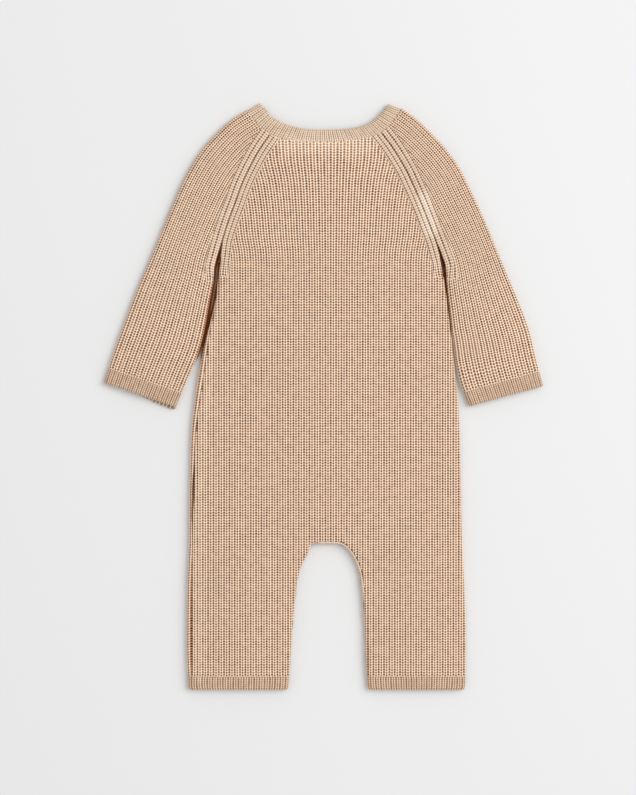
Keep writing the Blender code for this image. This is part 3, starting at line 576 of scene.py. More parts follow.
def knit_finish(name, yarn):
    """Stitches drawn on the mesh's own stitch map: U counts ribs and V counts rows."""
    finish = Finish(name)
    stitch = finish.node("ShaderNodeUVMap", {"uv_map": "stitch"}, {})
    rib = finish.node("ShaderNodeSeparateXYZ", {}, {0: stitch})
    place = finish.node("ShaderNodeTexCoord", {}, {}, output=3)
    uneven = finish.noise(place, 160.0, 1.0)
    row = Sum(finish, rib.socket.node.outputs[1]) + (uneven - 0.5) * 0.3      # rows aren't quite straight
    depth = finish.node("ShaderNodeAttribute", {"attribute_name": "depth"}, {}, output=2)
    open_stitch = 0.4 + depth * 0.6
    # above 1 the attribute carries painted shade for crevices and the rolled rim, and the darkening of bands,
    # cuffs and hems
    painted_shade_and_darkening = depth.between(1.0, 2.0)

    across = (rib.fraction() - 0.5).size() * 2            # 0 at the middle of a rib, 1 in a furrow
    leg = 1 - (across * 2 - 1).size()                     # 1 along the crest of each leg
    hanging = row + (1 - across * across) * MIDDLE_LAG
    gap = (hanging.fraction() - 0.5).size() * 2           # 0 on a stitch, 1 at the hole between two

    tone = finish.noise(place, 230.0, 2.0)
    fleck = finish.noise(place, 1100.0, 2.0)
    ply = ((row * 2.0 + across * 1.6) * (4 * math.pi)).sine()

    # the strands: painted pale on the lit crest of a leg, and browner with painted shade at its side and near
    # a hole
    near = gap.between(0.15, 0.65)
    side = 1 - leg.between(0.1, 0.85)
    painted_shade_and_fleck = (side * (0.54 + near * 0.40) + near * 0.30) * open_stitch + fleck.between(0.4, 0.7) * 0.1
    # painted crevice shade also turns the strands browner
    painted_shade_and_fleck = painted_shade_and_fleck + painted_shade_and_darkening * yarn.warm
    strand = finish.mix(painted_shade_and_fleck, yarn.pale, yarn.tan)
    # painted shade: a line of dark holes in each furrow and a weaker one at the middle of each rib
    hole = gap.between(0.30, 0.64)
    furrow = across.between(0.50, 0.78) * (yarn.dash + hole * (1 - yarn.dash))
    middle = across.between(0.42, 0.18) * (yarn.dash * 0.7 + hole * (0.9 - yarn.dash * 0.7))
    painted_shade = (furrow + middle) * open_stitch * (0.68 + tone.between(0.3, 0.7) * 0.4) + painted_shade_and_darkening * 0.9
    colour = finish.mix(painted_shade, strand, yarn.deep)

    # the round of each leg, the twist of its ply and some fuzz
    relief = leg.between(0.0, 0.8) * (1 - near * 0.5) + ply * 0.04 + fleck * 0.10
    bump = finish.node("ShaderNodeBump", {}, {"Strength": 0.4, "Distance": 0.0006, "Height": relief})
    finish.surface({"Base Color": colour, "Normal": bump, "Roughness": 0.92, "Specular IOR Level": 0.12,
                    "Sheen Weight": 0.03, "Sheen Roughness": 0.6})
    return finish.material


chunky_finish = knit_finish("chunky_rib", BEIGE)
fine_finish = knit_finish("fine_rib", FINE_BEIGE)
print("finishes:", chunky_finish.name, fine_finish.name)

# %% [markdown]
# ## Rows and edges of the body
# The knitter works upwards in rows, and the ribs stand upright at even places across. Where the piece
# widens or narrows, ribs start or end at its edge. So a place on the upper layer is first taken on the
# unrolled cloth, and then it is rolled over the nearest fold: a side, an inner leg or the edge between the
# legs.

# %% Heights and edges of the body
def leg_tube(rows, height):
    return Tube(read(rows, height, "left"), read(rows, height, "right"))


def body_tube(height):
    return Tube(read(BODY, height, "left"), read(BODY, height, "right"))


CROTCH_MARK = round((CROTCH - HEM_JOINT) / LEG_ROW * 2)
ALL_MARKS = np.arange(CROTCH_MARK + int((ABOVE_NECK - CROTCH) / (ROW / 2)))
UNROLLED = FOLD_RADIUS * (math.pi / 2 - 1)      # a fold's cloth reaches this far past the fold, unrolled


def height_of(mark):
    """Height of a mark: two marks are one row of stitches."""
    mark = np.asarray(mark, float)
    below = HEM_JOINT + mark * (CROTCH - HEM_JOINT) / CROTCH_MARK
    return np.where(mark <= CROTCH_MARK, below, CROTCH + (mark - CROTCH_MARK) * ROW / 2)


def from_sides(x, height):
    """Distances on the unrolled cloth from the left and the right fold of the garment."""
    level = np.clip(height, CROTCH, UNDERARM)
    left = np.where(height < CROTCH, read(LEFT_LEG, height, "left"), read(BODY, level, "left"))
    right = np.where(height < CROTCH, read(RIGHT_LEG, height, "right"), read(BODY, level, "right"))
    return x - left + UNROLLED, right + UNROLLED - x


def from_gap(x, height):
    """Distance from the folds round the gap between the legs, and the way from it across and up."""
    left_leg = read(LEFT_LEG, height, "right") + UNROLLED - x
    right_leg = x - read(RIGHT_LEG, height, "left") + UNROLLED
    on_left = left_leg > right_leg
    beside = np.maximum(left_leg, right_leg)
    above = height - (CROTCH - UNROLLED)
    corner = np.hypot(np.maximum(beside, 0.0), above) + 1e-9
    over = above > 0
    across = np.where(over, np.maximum(beside, 0.0) / corner, 1.0)
    up = np.where(over, above / corner, 0.0)
    return np.where(over, corner, beside), np.where(on_left, -across, across), up


HALVINGS = 12       # of the search for an edge between two marks
CLOSEST = 0.3       # marks between an edge and the next point, at least


def kept(marks, room):
    """Marks of a chain where it has room, with its first and last ones exactly on the piece's edges."""
    free = room(marks) > 0
    first = int(np.argmax(free))
    after = np.flatnonzero(~free[first:])
    last = first + int(after[0]) - 1 if len(after) else len(marks) - 1

    def edge(outside, inside):
        for _ in range(HALVINGS):
            middle = (outside + inside) / 2
            outside, inside = (outside, middle) if room(np.array([middle]))[0] > 0 else (middle, inside)
        return inside

    own = marks[first:last + 1].astype(float)
    if first > 0:
        start = edge(float(marks[first - 1]), float(marks[first]))
        own = np.append(start, own[own > start + CLOSEST])
    if last < len(marks) - 1:
        end = edge(float(marks[last + 1]), float(marks[last]))
        own = np.append(own[own < end - CLOSEST], end)
    return own


print("marks up the whole back:", len(ALL_MARKS), "and the crotch is at", CROTCH_MARK)

# %% [markdown]
# ## Bands beside the raglans
# Where the pieces narrow, the knitter moves the outer stitches inwards as a group, so a band of them runs
# beside the seam, with a small knot where stitches were moved. The band is its own strip along the seam,
# and the upright ribs slip under its far edge. It starts some whole rows below the underarm, on the very
# ribs that are rolled over the edge there, and over a short lead it takes on its own width.

# %% Raglan bands
LEFT_RAGLAN = table(Spot,  # from the underarm to the neckband, on the back
    (-93.2, UNDERARM), (-91.8, 131.4), (-90.5, 140.4), (-85.5, 156.6), (-79.2, 173.7), (-73.0, 190.8),
    (-65.9, 206.1), (-57.5, 221.4), (-47.7, 235.8),
)
RIGHT_RAGLAN = table(Spot,
    (106.9, UNDERARM), (104.0, 131.4), (101.3, 140.4), (97.2, 151.2), (91.6, 165.6), (87.2, 176.4),
    (83.3, 185.4), (75.9, 201.6), (69.3, 213.3), (61.2, 225.9), (52.2, 237.6),
)
SLIP = 0.6          # the ribs reach this far under the band
SINK = 1.2          # and go down by this much there
BAND_RISE = 0.2     # the band lies this much above the ribs' cloth
LEAD = 14.0         # from where the ribs of the side go on as the band's wales to where it has its own width
OVERLAP = 0.5       # the ribs of the side end this far past the start of the band
START_SINK = 0.45   # and the band starts this much lower, so the two blend
BLEND = 3           # within this length
SLIP_MARKS = 2.5    # the ribs go down under the band over these marks
SEAM_DROP, FAR_DROP = 0.35, 0.9     # the band's edges are this much lower
BEFORE, PAST = 0.5, 8.0             # its line goes on this far before it is cut at the neckband
CUT_PAST = 40.0                     # and the line that cuts the ribs goes on this far
BODY_BAND = (0.03, 1.2, 2.2, 3.2, 4.1, 5.1, 6.1, 7.1, 8.0, 8.8, 9.6)      # distances of the chains
SLEEVE_BAND = (0.03, 1.4, 2.7, 4.0, 5.2, 6.3, 7.3, 8.3, 9.1, 9.7, 10.3)
RIB_STITCH = (0.0, 0.25, 0.5, 0.25)          # places of a rib's four chains in the stitch pattern
BAND_STITCH = (0.11, 0.22, 0.37, 0.22)       # a band's wales are more closed, at the furrow and at the middle
BAND_SHADE = 0.20                            # and a little darker
KNOTS = table(Spot,  # where stitches were moved, on the back and on the left sleeve
    (-42.6, 225.3), (-46.4, 220.1), (-50.9, 213.7), (-55.4, 200.8), (-59.9, 193.1), (-65.7, 182.8),
    (-72.1, 168.7), (-63.2, 234.3), (-68.4, 222.3), (-74.7, 212.4), (-80.1, 203.4), (-84.6, 191.7),
)
FASHIONED = [Patch(*knot, knot.x + 1.0, knot.y + 0.6, reach=2.2, rise=0.9) for knot in KNOTS]


def neck_height(x, neck, count=150):
    """Height of the neckband's seam over a place across."""
    line = Line(neck)
    spots = line.at(np.linspace(0.0, line.length, count))
    order = np.argsort(spots[:, 0])
    return np.interp(x, spots[order, 0], spots[order, 1])


def band_far_edge(rows, width):
    """Where the ribs end under a band: to the right of its line, or to its left for a negative width."""
    return beside(stretched(rows, 0.1, CUT_PAST), width - math.copysign(SLIP, width))


def straight_down(count):
    """The way into cloth that lies level, for some points."""
    return np.tile([0.0, 0.0, -1.0], (count, 1))


def sunk(rise, marks, is_cut):
    """Rises that go down where a chain slips under a band."""
    return rise - SINK * ease(1 - (marks[-1] - marks) / SLIP_MARKS) * is_cut


def bent_down(from_edge):
    """How far a fold's bend is below the flat of the top, at distances from its edge."""
    near = np.clip(from_edge / FOLD_RADIUS, 0.0, 1.0)
    return FOLD_RADIUS * (1 - np.sqrt(1 - (1 - near) ** 2))


def ribs_over_edge(rib, stops, first):
    """Distances across from a fold's edge to the lines of points of the ribs that are rolled over it."""
    lines = np.arange(len(stops))
    lines = np.where(lines > 2 * POINTS_A_RIB, POINTS_A_RIB + lines / 2, lines)     # the last ones are closer
    unrolled = first + lines * rib / POINTS_A_RIB
    turn = np.minimum(unrolled / FOLD_RADIUS, math.pi / 2)
    across = np.maximum(FOLD_RADIUS * (1 - np.cos(turn)) + unrolled - turn * FOLD_RADIUS, stops[0])
    across[-2:] = np.maximum(across[-2:], stops[-2:])
    return across


def raglan_band(cloth, rows, side, lead_stops, stops, up_at, spare):
    """A strip beside a line walked upwards; side is 1 to its right and -1 to its left.

    The line leads up an edge for a while and then follows the seam. up_at gives the height of the cloth at
    places, from how far they are from the line.
    """
    line = Line(stretched(rows, BEFORE, PAST))
    marks = np.arange(int(line.length / (ROW / 2)))
    chains = []
    for index in range(len(stops)):
        kind = index % POINTS_A_RIB

        def place_of(marks, index=index):
            distance = marks * ROW / 2
            out = ease(distance / LEAD)
            stop = lead_stops[index] * (1 - out) + stops[index] * out
            spot = line.at(distance) + (side * stop)[:, None] * rightwards(line.ahead(distance))
            up = up_at(spot[:, 0], spot[:, 1], stop) + BAND_RISE - START_SINK * (1 - ease(distance / BLEND))
            up = up + ridges(FASHIONED, spot[:, 0], spot[:, 1])
            return np.column_stack([spot, up])

        own = kept(marks, lambda marks: spare(place_of(marks)))
        drop = SEAM_DROP if index == 0 else FAR_DROP if index == len(stops) - 1 else 0.0
        rise = rises(CHUNKY, kind, own) - drop
        out = ease(own * ROW / 2 / LEAD)
        rib = RIB_STITCH[kind] * (1 - out) + BAND_STITCH[kind] * out
        chains.append(cloth.chain(own, (place_of(own), straight_down(len(own))), rise, rib,
                                  backed=kind == 0 or index == len(stops) - 1, shade=BAND_SHADE * out))
    cloth.shell(chains)


print("length of the left raglan, mm:", round(Line(LEFT_RAGLAN).length, 1))

# %% [markdown]
# ## Small chains along an edge
# Two edges are finished with a strip of smaller stitches: the row that links the neckband, and the rim of
# the gap between the legs, which rolls up a little. A short table gives each strip's section.

# %% Linked row and rolled rim
BACK_NECK_SEAM = table(Spot,  # of the neckband, from side fold to side fold past both raglans
    (-68.4, 257.4), (-61.2, 248.9), (-54.9, 242.1), (-47.7, 235.8), (-36.0, 232.0), (-20.7, 230.0),
    (1.8, 229.5), (19.8, 230.0), (36.0, 232.4), (52.2, 237.6), (60.3, 244.8), (65.5, 251.5), (70.2, 259.2),
)
LINK_ROW = 2.07     # one row of the small stitches
Strand = namedtuple("Strand", "offset rise rib shade")      # rib: its place in the stitch pattern
LINK = table(Strand,  # across the neckband's seam, from the body's side
    (-1.0, -0.6, 0.2, 0.0), (-0.8, 0.2, 0.2, 0.0), (-0.35, 0.1, 0.0, 0.0), (0.25, 0.1, 0.0, 0.0),
    (0.7, 0.3, 0.2, 0.0), (0.9, -0.6, 0.2, 0.0),
)
RIM = table(Strand,  # across the rim of the gap between the legs, from the gap's side
    (-1.2, -0.5, 0.2, 0.2), (-0.7, 0.5, 0.22, 0.2), (0.0, 0.9, 0.25, 0.15), (0.6, 0.7, 0.2, 0.2),
    # the shade of 0.8 at 0.95 and 1.4 is painted shade, a dark line where the rolled rim meets the cloth
    (0.95, 0.5, 0.0, 0.8), (1.4, 0.3, 0.0, 0.8), (1.7, -0.6, 0.2, 0.3),
)
ENDS_FREE = 4       # a small chain starts this many marks along its line
END_FADE = 9        # and sinks into the cloth over this many at its ends
END_SINK = 0.7      # by this much
RIM_INSIDE = 1.3    # the rim's line is this far inside the fold
RIM_LINE = table(Spot,  # along the rim: over the gap and down the right inner leg
    (-13.0, -132.9), (-9.5, -132.0), (4.0, -131.8), (14.0, -132.1), (19.6, -134.2), (24.9, -139.3),
    (29.8, -147.3), (33.4, -156.4), (35.6, -168.0), (36.9, -180.0), (37.6, -188.0),
)


def small_chain(cloth, rows, section, up_at):
    """A narrow strip of small stitches along a line; up_at gives the cloth's height at places and offsets."""
    line = Line(rows)
    marks = np.arange(ENDS_FREE, int(line.length / (LINK_ROW / 2)) - ENDS_FREE)
    along = marks * LINK_ROW / 2
    leftwards = -rightwards(line.ahead(along))
    fade = ease(np.minimum(marks - marks[0], marks[-1] - marks) / END_FADE)
    chains = []
    for strand in section:
        rise = strand.rise * fade - END_SINK * (1 - fade)
        spot = line.at(along) + strand.offset * leftwards
        place = np.column_stack([spot, up_at(spot, strand.offset)])
        skin = place, straight_down(len(marks))
        chains.append(cloth.chain(marks, skin, rise, strand.rib, shade=strand.shade))
    cloth.shell(chains)


print("length of the rolled rim, mm:", round(Line(RIM_LINE).length, 1))

# %% [markdown]
# ## Rolled over the folds
# A rib of the back stays at one place across the unrolled cloth, all the way up. Near an edge that place is
# rolled over the fold, so it comes nearer and goes down. Above the underarm the cloth lies flat and the
# ribs open out a little.

# %% Skin of the back
RIGHT_TURN = 2.5        # the back goes this far round the right edge
SIDE_ROWS = (5, 2)      # a band's line starts this many rows below the underarm


def body_up(x, y, from_edge):
    """Height of the back's cloth beside a raglan: it bends down to the edge near the underarm."""
    return TOP_LIE - (1 - ease((y - UNDERARM) / LEVELLING)) * bent_down(from_edge) + lift(x, y)


def side_rows(column):
    """Places up an edge of the body, some whole rows below the underarm."""
    heights = CROTCH + ROW * (math.floor((UNDERARM - CROTCH) / ROW) - np.array(SIDE_ROWS))
    return [Spot(x, y) for x, y in zip(read(BODY, heights, column), heights)]


def back_room(x, height):
    """How far a place is inside the back's side seams and the gap between the legs."""
    left, right = from_sides(x, height)
    turned_up = read(BODY, height, "turned_up")
    return np.minimum(np.minimum(left - turned_up, right + RIGHT_TURN), from_gap(x, height)[0])


def back_skin(x, height):
    """Places and inward directions of one upright chain, rolled over the folds."""
    left, right = from_sides(x, height)
    gap, gap_across, gap_up = from_gap(x, height)
    away = np.minimum(np.minimum(left, right), gap)
    across = np.where(left <= away, 1.0, np.where(right <= away, -1.0, gap_across))
    up = np.where(gap <= away, gap_up, 0.0)
    turn = np.minimum(away / FOLD_RADIUS, math.pi / 2)
    drawn_in = UNROLLED - FOLD_RADIUS * (turn - 1 + np.cos(turn))
    chest = ease((height - UNDERARM) / LEVELLING)       # flat above the underarm, with the ribs opening out
    wide = BODY_MIDDLE + (x + across * drawn_in - BODY_MIDDLE) * read(FAN, height, "spread")
    flat, steep = (1 - chest) * np.cos(turn), np.sin(turn) * (1 - chest) + chest
    inward = np.stack([across * flat, up * flat, -steep], axis=-1)
    inward /= np.linalg.norm(inward, axis=-1, keepdims=True)
    y = height + up * drawn_in
    z = FOLD_RADIUS * (1 + steep) + swell(inward[:, 2], wide, y)
    return np.stack([wide, y, z], axis=-1), inward


print("highest lie of the back at x = 0, mm:",
      round(float(back_skin(0.0, height_of(ALL_MARKS))[0][:, 2].max()), 1))

# %% [markdown]
# ## The back
# The upright chains of the back run from the hems to the neckband. Each is kept where it has room: inside
# the side seams, outside the gap between the legs, and below the bands and the neckband.

# %% The back
START_NEAR = 1.5        # a chain that ends this near the band's start goes on as its wale
START_BELOW = 1.0       # and one that ends this much below it is on the piece's edge
FEWEST_POINTS = 4


def make_back():
    cloth = Cloth()
    left = band_far_edge(side_rows("left") + LEFT_RAGLAN, BODY_BAND[-1])
    right = band_far_edge(side_rows("right") + RIGHT_RAGLAN, -BODY_BAND[-1])[::-1]
    band_start = float(left[0, 1])
    step = RIB / POINTS_A_RIB
    leftmost = math.ceil((min(values(LEFT_LEG, "left")) - FURROW_AT) / step)
    rightmost = math.floor((max(values(RIGHT_LEG, "right")) + 2 * FOLD_RADIUS - FURROW_AT) / step)
    chains = []
    for index in range(leftmost, rightmost + 1):
        kind, x = index % POINTS_A_RIB, FURROW_AT + index * step

        def room(marks, x=x):
            height = height_of(marks)
            place = back_skin(x, height)[0]
            top = np.minimum(np.interp(place[:, 0], left[:, 0], left[:, 1]),
                             np.interp(place[:, 0], right[:, 0], right[:, 1])) + OVERLAP
            top = np.minimum(top, neck_height(place[:, 0], BACK_NECK_SEAM))
            return np.minimum(back_room(x, height), top - place[:, 1])

        marks = kept(ALL_MARKS, room)
        if len(marks) < FEWEST_POINTS:
            continue
        skin = back_skin(x, height_of(marks))
        top = skin[0][-1]
        at_neck = top[1] > neck_height(top[0], BACK_NECK_SEAM) - 2 * TUCK
        at_start = top[1] < band_start + START_NEAR
        rise = sunk(rises(CHUNKY, kind, marks), marks, not at_neck and not at_start)
        is_edge = marks[0] % 1 > 0 or height_of(marks[-1]) < band_start - START_BELOW
        chains.append(cloth.chain(marks, skin, rise, index / POINTS_A_RIB, backed=kind == 0 or is_edge))
    cloth.shell(chains)

    def below_neck(places):
        return neck_height(places[:, 0], BACK_NECK_SEAM) - places[:, 1]

    def flat_up(spots, offset):
        return TOP_LIE + lift(*spots.T)

    def rim_up(spots, offset):
        return flat_up(spots, offset) - bent_down(RIM_INSIDE + offset)

    small_chain(cloth, BACK_NECK_SEAM, LINK, flat_up)
    small_chain(cloth, RIM_LINE, RIM, rim_up)
    for column, seam, side in (("left", LEFT_RAGLAN, 1), ("right", RIGHT_RAGLAN, -1)):
        edge = seam[0].x - side * UNROLLED
        first = (side * (FURROW_AT - edge)) % RIB
        lead_stops = ribs_over_edge(RIB, BODY_BAND, first)
        raglan_band(cloth, side_rows(column) + seam, side, lead_stops, BODY_BAND, body_up, below_neck)
    return cloth.finish("back_knit", chunky_finish, "chunky_rib", "back_panel")


back = make_back()

# %% [markdown]
# ## The front
# The front lies on the floor under the back. It comes round the left edge onto the top, so a strip of it
# shows there, and it shows a little at the insides of the legs. Those bends are as fine as the back, and
# the rest, which nobody sees, has few points and gets its ribs from the finish alone.

# %% Lower layer
LEFT_BEND_CHAINS = 8        # two ribs round the left edge of the garment
INNER_BEND_CHAINS = 4
RIGHT_BEND_CHAINS = 4
FRONT_LEG_CHAINS = 14
FRONT_CROTCH_CHAINS = 6


def shared_out(first, last, count):
    """Places from first to last, at even distances."""
    return [first + (last - first) * index / count for index in range(count + 1)]


def left_bend(tube, height):
    seam = read(BODY, height, "turned_up")
    return [seam + UNDERLAP] + shared_out(seam, -tube.quarter, LEFT_BEND_CHAINS - 1)


def flat_stops(tube, steps):
    return shared_out(-tube.quarter, -tube.quarter - tube.flat, steps)[1:]


def right_bend(tube):
    return shared_out(-tube.quarter - tube.flat, RIGHT_TURN + TUCK - tube.half, RIGHT_BEND_CHAINS)[1:]


def left_leg_stops(height):
    """Distances round the left leg of the lower layer's chains; below 0 they are underneath."""
    tube = leg_tube(LEFT_LEG, height)
    inner = shared_out(-tube.quarter - tube.flat, TUCK - tube.half, INNER_BEND_CHAINS)
    return left_bend(tube, height) + flat_stops(tube, FRONT_LEG_CHAINS) + inner[1:]


def right_leg_stops(height):
    tube = leg_tube(RIGHT_LEG, height)
    inner = shared_out(-TUCK, -tube.quarter, INNER_BEND_CHAINS)
    return inner + flat_stops(tube, FRONT_LEG_CHAINS) + right_bend(tube)


def body_stops(height):
    tube = body_tube(height)
    steps = 2 * FRONT_LEG_CHAINS + 2 * INNER_BEND_CHAINS + FRONT_CROTCH_CHAINS
    return left_bend(tube, height) + flat_stops(tube, steps) + right_bend(tube)


LEFT_LAST = LEFT_BEND_CHAINS + FRONT_LEG_CHAINS + INNER_BEND_CHAINS
RIGHT_FIRST = LEFT_LAST + FRONT_CROTCH_CHAINS
FRONT_LAST = RIGHT_FIRST + INNER_BEND_CHAINS + FRONT_LEG_CHAINS + RIGHT_BEND_CHAINS


def stops_at_crotch():
    """Distances round the body at the crotch that meet the chains of the legs."""
    body, left_leg, right_leg = body_tube(CROTCH), leg_tube(LEFT_LEG, CROTCH), leg_tube(RIGHT_LEG, CROTCH)
    left = np.array(left_leg_stops(CROTCH))
    x = left_leg.skin(left)[0]
    left = np.where(x > body.left + FOLD_RADIUS, -body.over(x), left)
    right = np.array(right_leg_stops(CROTCH))
    x = right_leg.skin(right)[0]
    right = np.where(x < body.right - FOLD_RADIUS, -body.over(x), right_leg.half - np.abs(right) - body.half)
    between = np.linspace(left[-1], right[0], FRONT_CROTCH_CHAINS + 1)
    return np.concatenate([left, between[1:-1], right])


DRAWN = stops_at_crotch() - body_stops(CROTCH)      # how far ribs are drawn towards the legs at the crotch
print("the ribs are drawn towards the legs by up to, mm:", round(float(np.abs(DRAWN).max()), 1))

# %% [markdown]
# ## Skin of the lower layer
# Each chain of the front keeps its place in the count round the tube, so on the legs it follows a leg, and
# above the crotch it opens out to its place on the body. Over the gap between the legs it rolls up.

# %% Skin of the lower layer
def front_above_crotch(chain, height):
    """Across, up and the way in, on the body."""
    level = np.clip(height, CROTCH, UNDERARM)
    share = ease((level - CROTCH) / (FULL_SPREAD - CROTCH))
    x, z, inward_x, inward_z = body_tube(level).skin(body_stops(level)[chain] + DRAWN[chain] * (1 - share))
    inward_y = np.zeros_like(x)
    if LEFT_LAST <= chain <= RIGHT_FIRST:       # the edge between the legs rolls over
        turn = np.arccos(np.clip(1 - (height - CROTCH) / FOLD_RADIUS, 0.0, 1.0))
        rolled = height - CROTCH < FOLD_RADIUS
        z = np.where(rolled, FOLD_RADIUS * (1 - np.sin(turn)), z)
        inward_x = np.where(rolled, 0.0, inward_x)
        inward_y = np.where(rolled, np.cos(turn), inward_y)
        inward_z = np.where(rolled, np.sin(turn), inward_z)
    return x, z, inward_x, inward_y, inward_z


def front_on_leg(chain, height):
    height = np.minimum(height, CROTCH)
    on_right = chain >= RIGHT_FIRST
    stop = right_leg_stops(height)[chain - RIGHT_FIRST] if on_right else left_leg_stops(height)[chain]
    x, z, inward_x, inward_z = leg_tube(RIGHT_LEG if on_right else LEFT_LEG, height).skin(stop)
    return x, z, inward_x, np.zeros_like(x), inward_z


def front_skin(chain, height):
    """Places and inward directions of one chain at several heights."""
    parts = front_above_crotch(chain, height)
    if not LEFT_LAST < chain < RIGHT_FIRST:
        parts = [np.where(height < CROTCH, below, above)
                 for below, above in zip(front_on_leg(chain, height), parts)]
    x, z, inward_x, inward_y, inward_z = parts
    flat = ease((height - UNDERARM) / LEVELLING)
    x = BODY_MIDDLE + (x - BODY_MIDDLE) * read(FAN, height, "spread")
    if chain <= LEFT_BEND_CHAINS:
        x = x - flared(height, z, FLARE)
    inward = np.stack([inward_x * (1 - flat), inward_y, inward_z * (1 - flat) + flat], axis=-1)
    inward /= np.linalg.norm(inward, axis=-1, keepdims=True)
    z = z * (1 - flat) + swell(inward[:, 2], x, height)
    return np.stack([x, height, z], axis=-1), inward


print("chains of the front:", FRONT_LAST + 1)

# %% [markdown]
# ## Weaving the front
# The front's chains go round from its left edge, under the left leg, the crotch and the right leg, to its
# right edge. They are woven in three parts, because the part over the crotch starts higher up.

# %% The front
LEFT_FRONT_RAGLAN = table(Spot,
    (-93.2, UNDERARM), (-91.2, 140.4), (-87.0, 157.0), (-81.0, 174.0), (-74.0, 191.0), (-65.0, 208.0),
    (-55.0, 224.0),
)
RIGHT_FRONT_RAGLAN = table(Spot,
    (106.9, UNDERARM), (103.4, 140.4), (97.4, 157.0), (89.6, 174.0), (81.0, 191.0), (71.0, 208.0),
    (60.0, 224.0),
)
FRONT_NECK_SEAM = table(Spot,
    (-68.4, 257.4), (-65.0, 246.0), (-60.5, 235.0), (-55.0, 224.0), (-45.0, 213.5), (-32.0, 206.0),
    (-15.0, 202.5), (2.3, 201.5), (20.0, 202.5), (37.0, 206.0), (50.0, 213.5), (60.0, 224.0), (65.0, 235.0),
    (68.5, 247.0), (70.2, 259.2),
)
EDGE_TUCK = 1.5         # its left edge goes down under the back by this much
BEND_MARKS = 4          # marks that the bend above the crotch takes


def weave_front(cloth, chains):
    """Skins and rims: left leg and side, the stretch over the crotch, right leg and side."""
    left, middle, right = chains[:LEFT_LAST + 1], chains[LEFT_LAST:RIGHT_FIRST + 1], chains[RIGHT_FIRST:]
    cloth.skins(left)
    cloth.skins(middle, low=CROTCH_MARK)
    cloth.skins(right)
    cloth.rim(left, 0)
    cloth.rim(right, 0)
    cloth.rim(middle, low=CROTCH_MARK)
    cloth.rim(chains, -1)
    for chain in (chains[0], chains[-1]):
        cloth.weave(chain.outer, chain.inner)
    for chain in (chains[LEFT_LAST], chains[RIGHT_FIRST]):
        outer, inner = ([pair for pair in part if pair[0] <= CROTCH_MARK] for part in chain)
        cloth.weave(outer, inner)


def make_front():
    cloth = Cloth()

    def room(places):
        x, y = places[:, 0], places[:, 1]
        left = np.interp(x, values(LEFT_FRONT_RAGLAN, "x"), values(LEFT_FRONT_RAGLAN, "y"))
        right = np.interp(x, values(RIGHT_FRONT_RAGLAN, "x")[::-1], values(RIGHT_FRONT_RAGLAN, "y")[::-1])
        neck = neck_height(x, FRONT_NECK_SEAM)
        top = np.where(x < LEFT_FRONT_RAGLAN[-1].x, left, np.where(x > RIGHT_FRONT_RAGLAN[-1].x, right, neck))
        return top - TUCK - y

    shown = [*range(LEFT_BEND_CHAINS + 1), *range(LEFT_LAST - INNER_BEND_CHAINS, LEFT_LAST + 1),
             *range(RIGHT_FIRST, RIGHT_FIRST + INNER_BEND_CHAINS + 1),
             *range(FRONT_LAST - RIGHT_BEND_CHAINS, FRONT_LAST + 1)]
    # a tucked edge, fine ribs round the bend, then one rib a chain
    ribs = np.cumsum([-0.1, 0.1] + [1 / POINTS_A_RIB] * (LEFT_BEND_CHAINS - 1)
                     + [1.0] * (FRONT_LAST - LEFT_BEND_CHAINS))
    chains = []
    for index in range(FRONT_LAST + 1):
        start = CROTCH_MARK if LEFT_LAST < index < RIGHT_FIRST else 0
        step = 1 if index in shown else INNER_STEP
        own = ALL_MARKS[start:]
        own = own[(own % step == 0) | ((own >= CROTCH_MARK) & (own < CROTCH_MARK + BEND_MARKS))]
        marks = kept(own, lambda marks: room(front_skin(index, height_of(marks))[0]))
        is_ribbed = index <= LEFT_BEND_CHAINS
        rise = rises(CHUNKY, (index - 1) % POINTS_A_RIB, marks) if is_ribbed else np.zeros(len(marks))
        if index == 0:
            rise = np.full(len(marks), -EDGE_TUCK)
        chains.append(cloth.chain(marks, front_skin(index, height_of(marks)), rise, ribs[index],
                                  keep=(CROTCH_MARK,)))
    weave_front(cloth, chains)
    return cloth.finish("front_knit", chunky_finish, "chunky_rib", "front_panel")


front = make_front()

# %% [markdown]
# ## Chains round a flat tube
# A sleeve, a cuff or a hem is one tube. Its chains go over the top from the outer fold, four to a rib, and
# back underneath, where a few plain ones are enough.

# %% Round a tube
UNDERSIDE_CHAINS = 8
BEND_CHAINS = 4
UNDER_COUNT = 2 * BEND_CHAINS + UNDERSIDE_CHAINS - 1


def underside(tube):
    """Distances round the plain underside, from the far edge back to the near one."""
    far = shared_out(-tube.half, -tube.half + tube.quarter, BEND_CHAINS)
    flat = shared_out(-tube.half + tube.quarter, -tube.quarter, UNDERSIDE_CHAINS)
    near = shared_out(-tube.quarter, 0.0, BEND_CHAINS)
    return far[1:] + flat[1:] + near[1:-1]


class Around:
    """One chain of a tube: where it is, and its rib."""

    def __init__(self, index, ribs):
        self.index, self.steps_over = index, POINTS_A_RIB * ribs
        self.under = index - self.steps_over - 1        # counted underneath, and below 0 on top
        self.is_upper = self.under < 0
        self.is_far_bend = 0 <= self.under < BEND_CHAINS
        self.is_plain = BEND_CHAINS <= self.under < BEND_CHAINS + UNDERSIDE_CHAINS
        self.kind = index % POINTS_A_RIB if self.is_upper else 2
        self.is_backed = self.kind == 0 or not self.is_upper
        self.rib = index / POINTS_A_RIB
        if not self.is_upper:       # underneath, the same count of ribs is shared out over few chains
            self.rib = ribs + ribs * (self.under + 1) / (UNDER_COUNT + 1)

    def stop(self, tube):
        """Distance round the tube."""
        return tube.half * self.index / self.steps_over if self.is_upper else underside(tube)[self.under]

    def rises(self, relief, marks):
        return rises(relief, self.kind, marks) if self.is_upper else np.zeros(len(marks))


def around_tube(ribs):
    return [Around(index, ribs) for index in range(POINTS_A_RIB * ribs + 1 + UNDER_COUNT)]


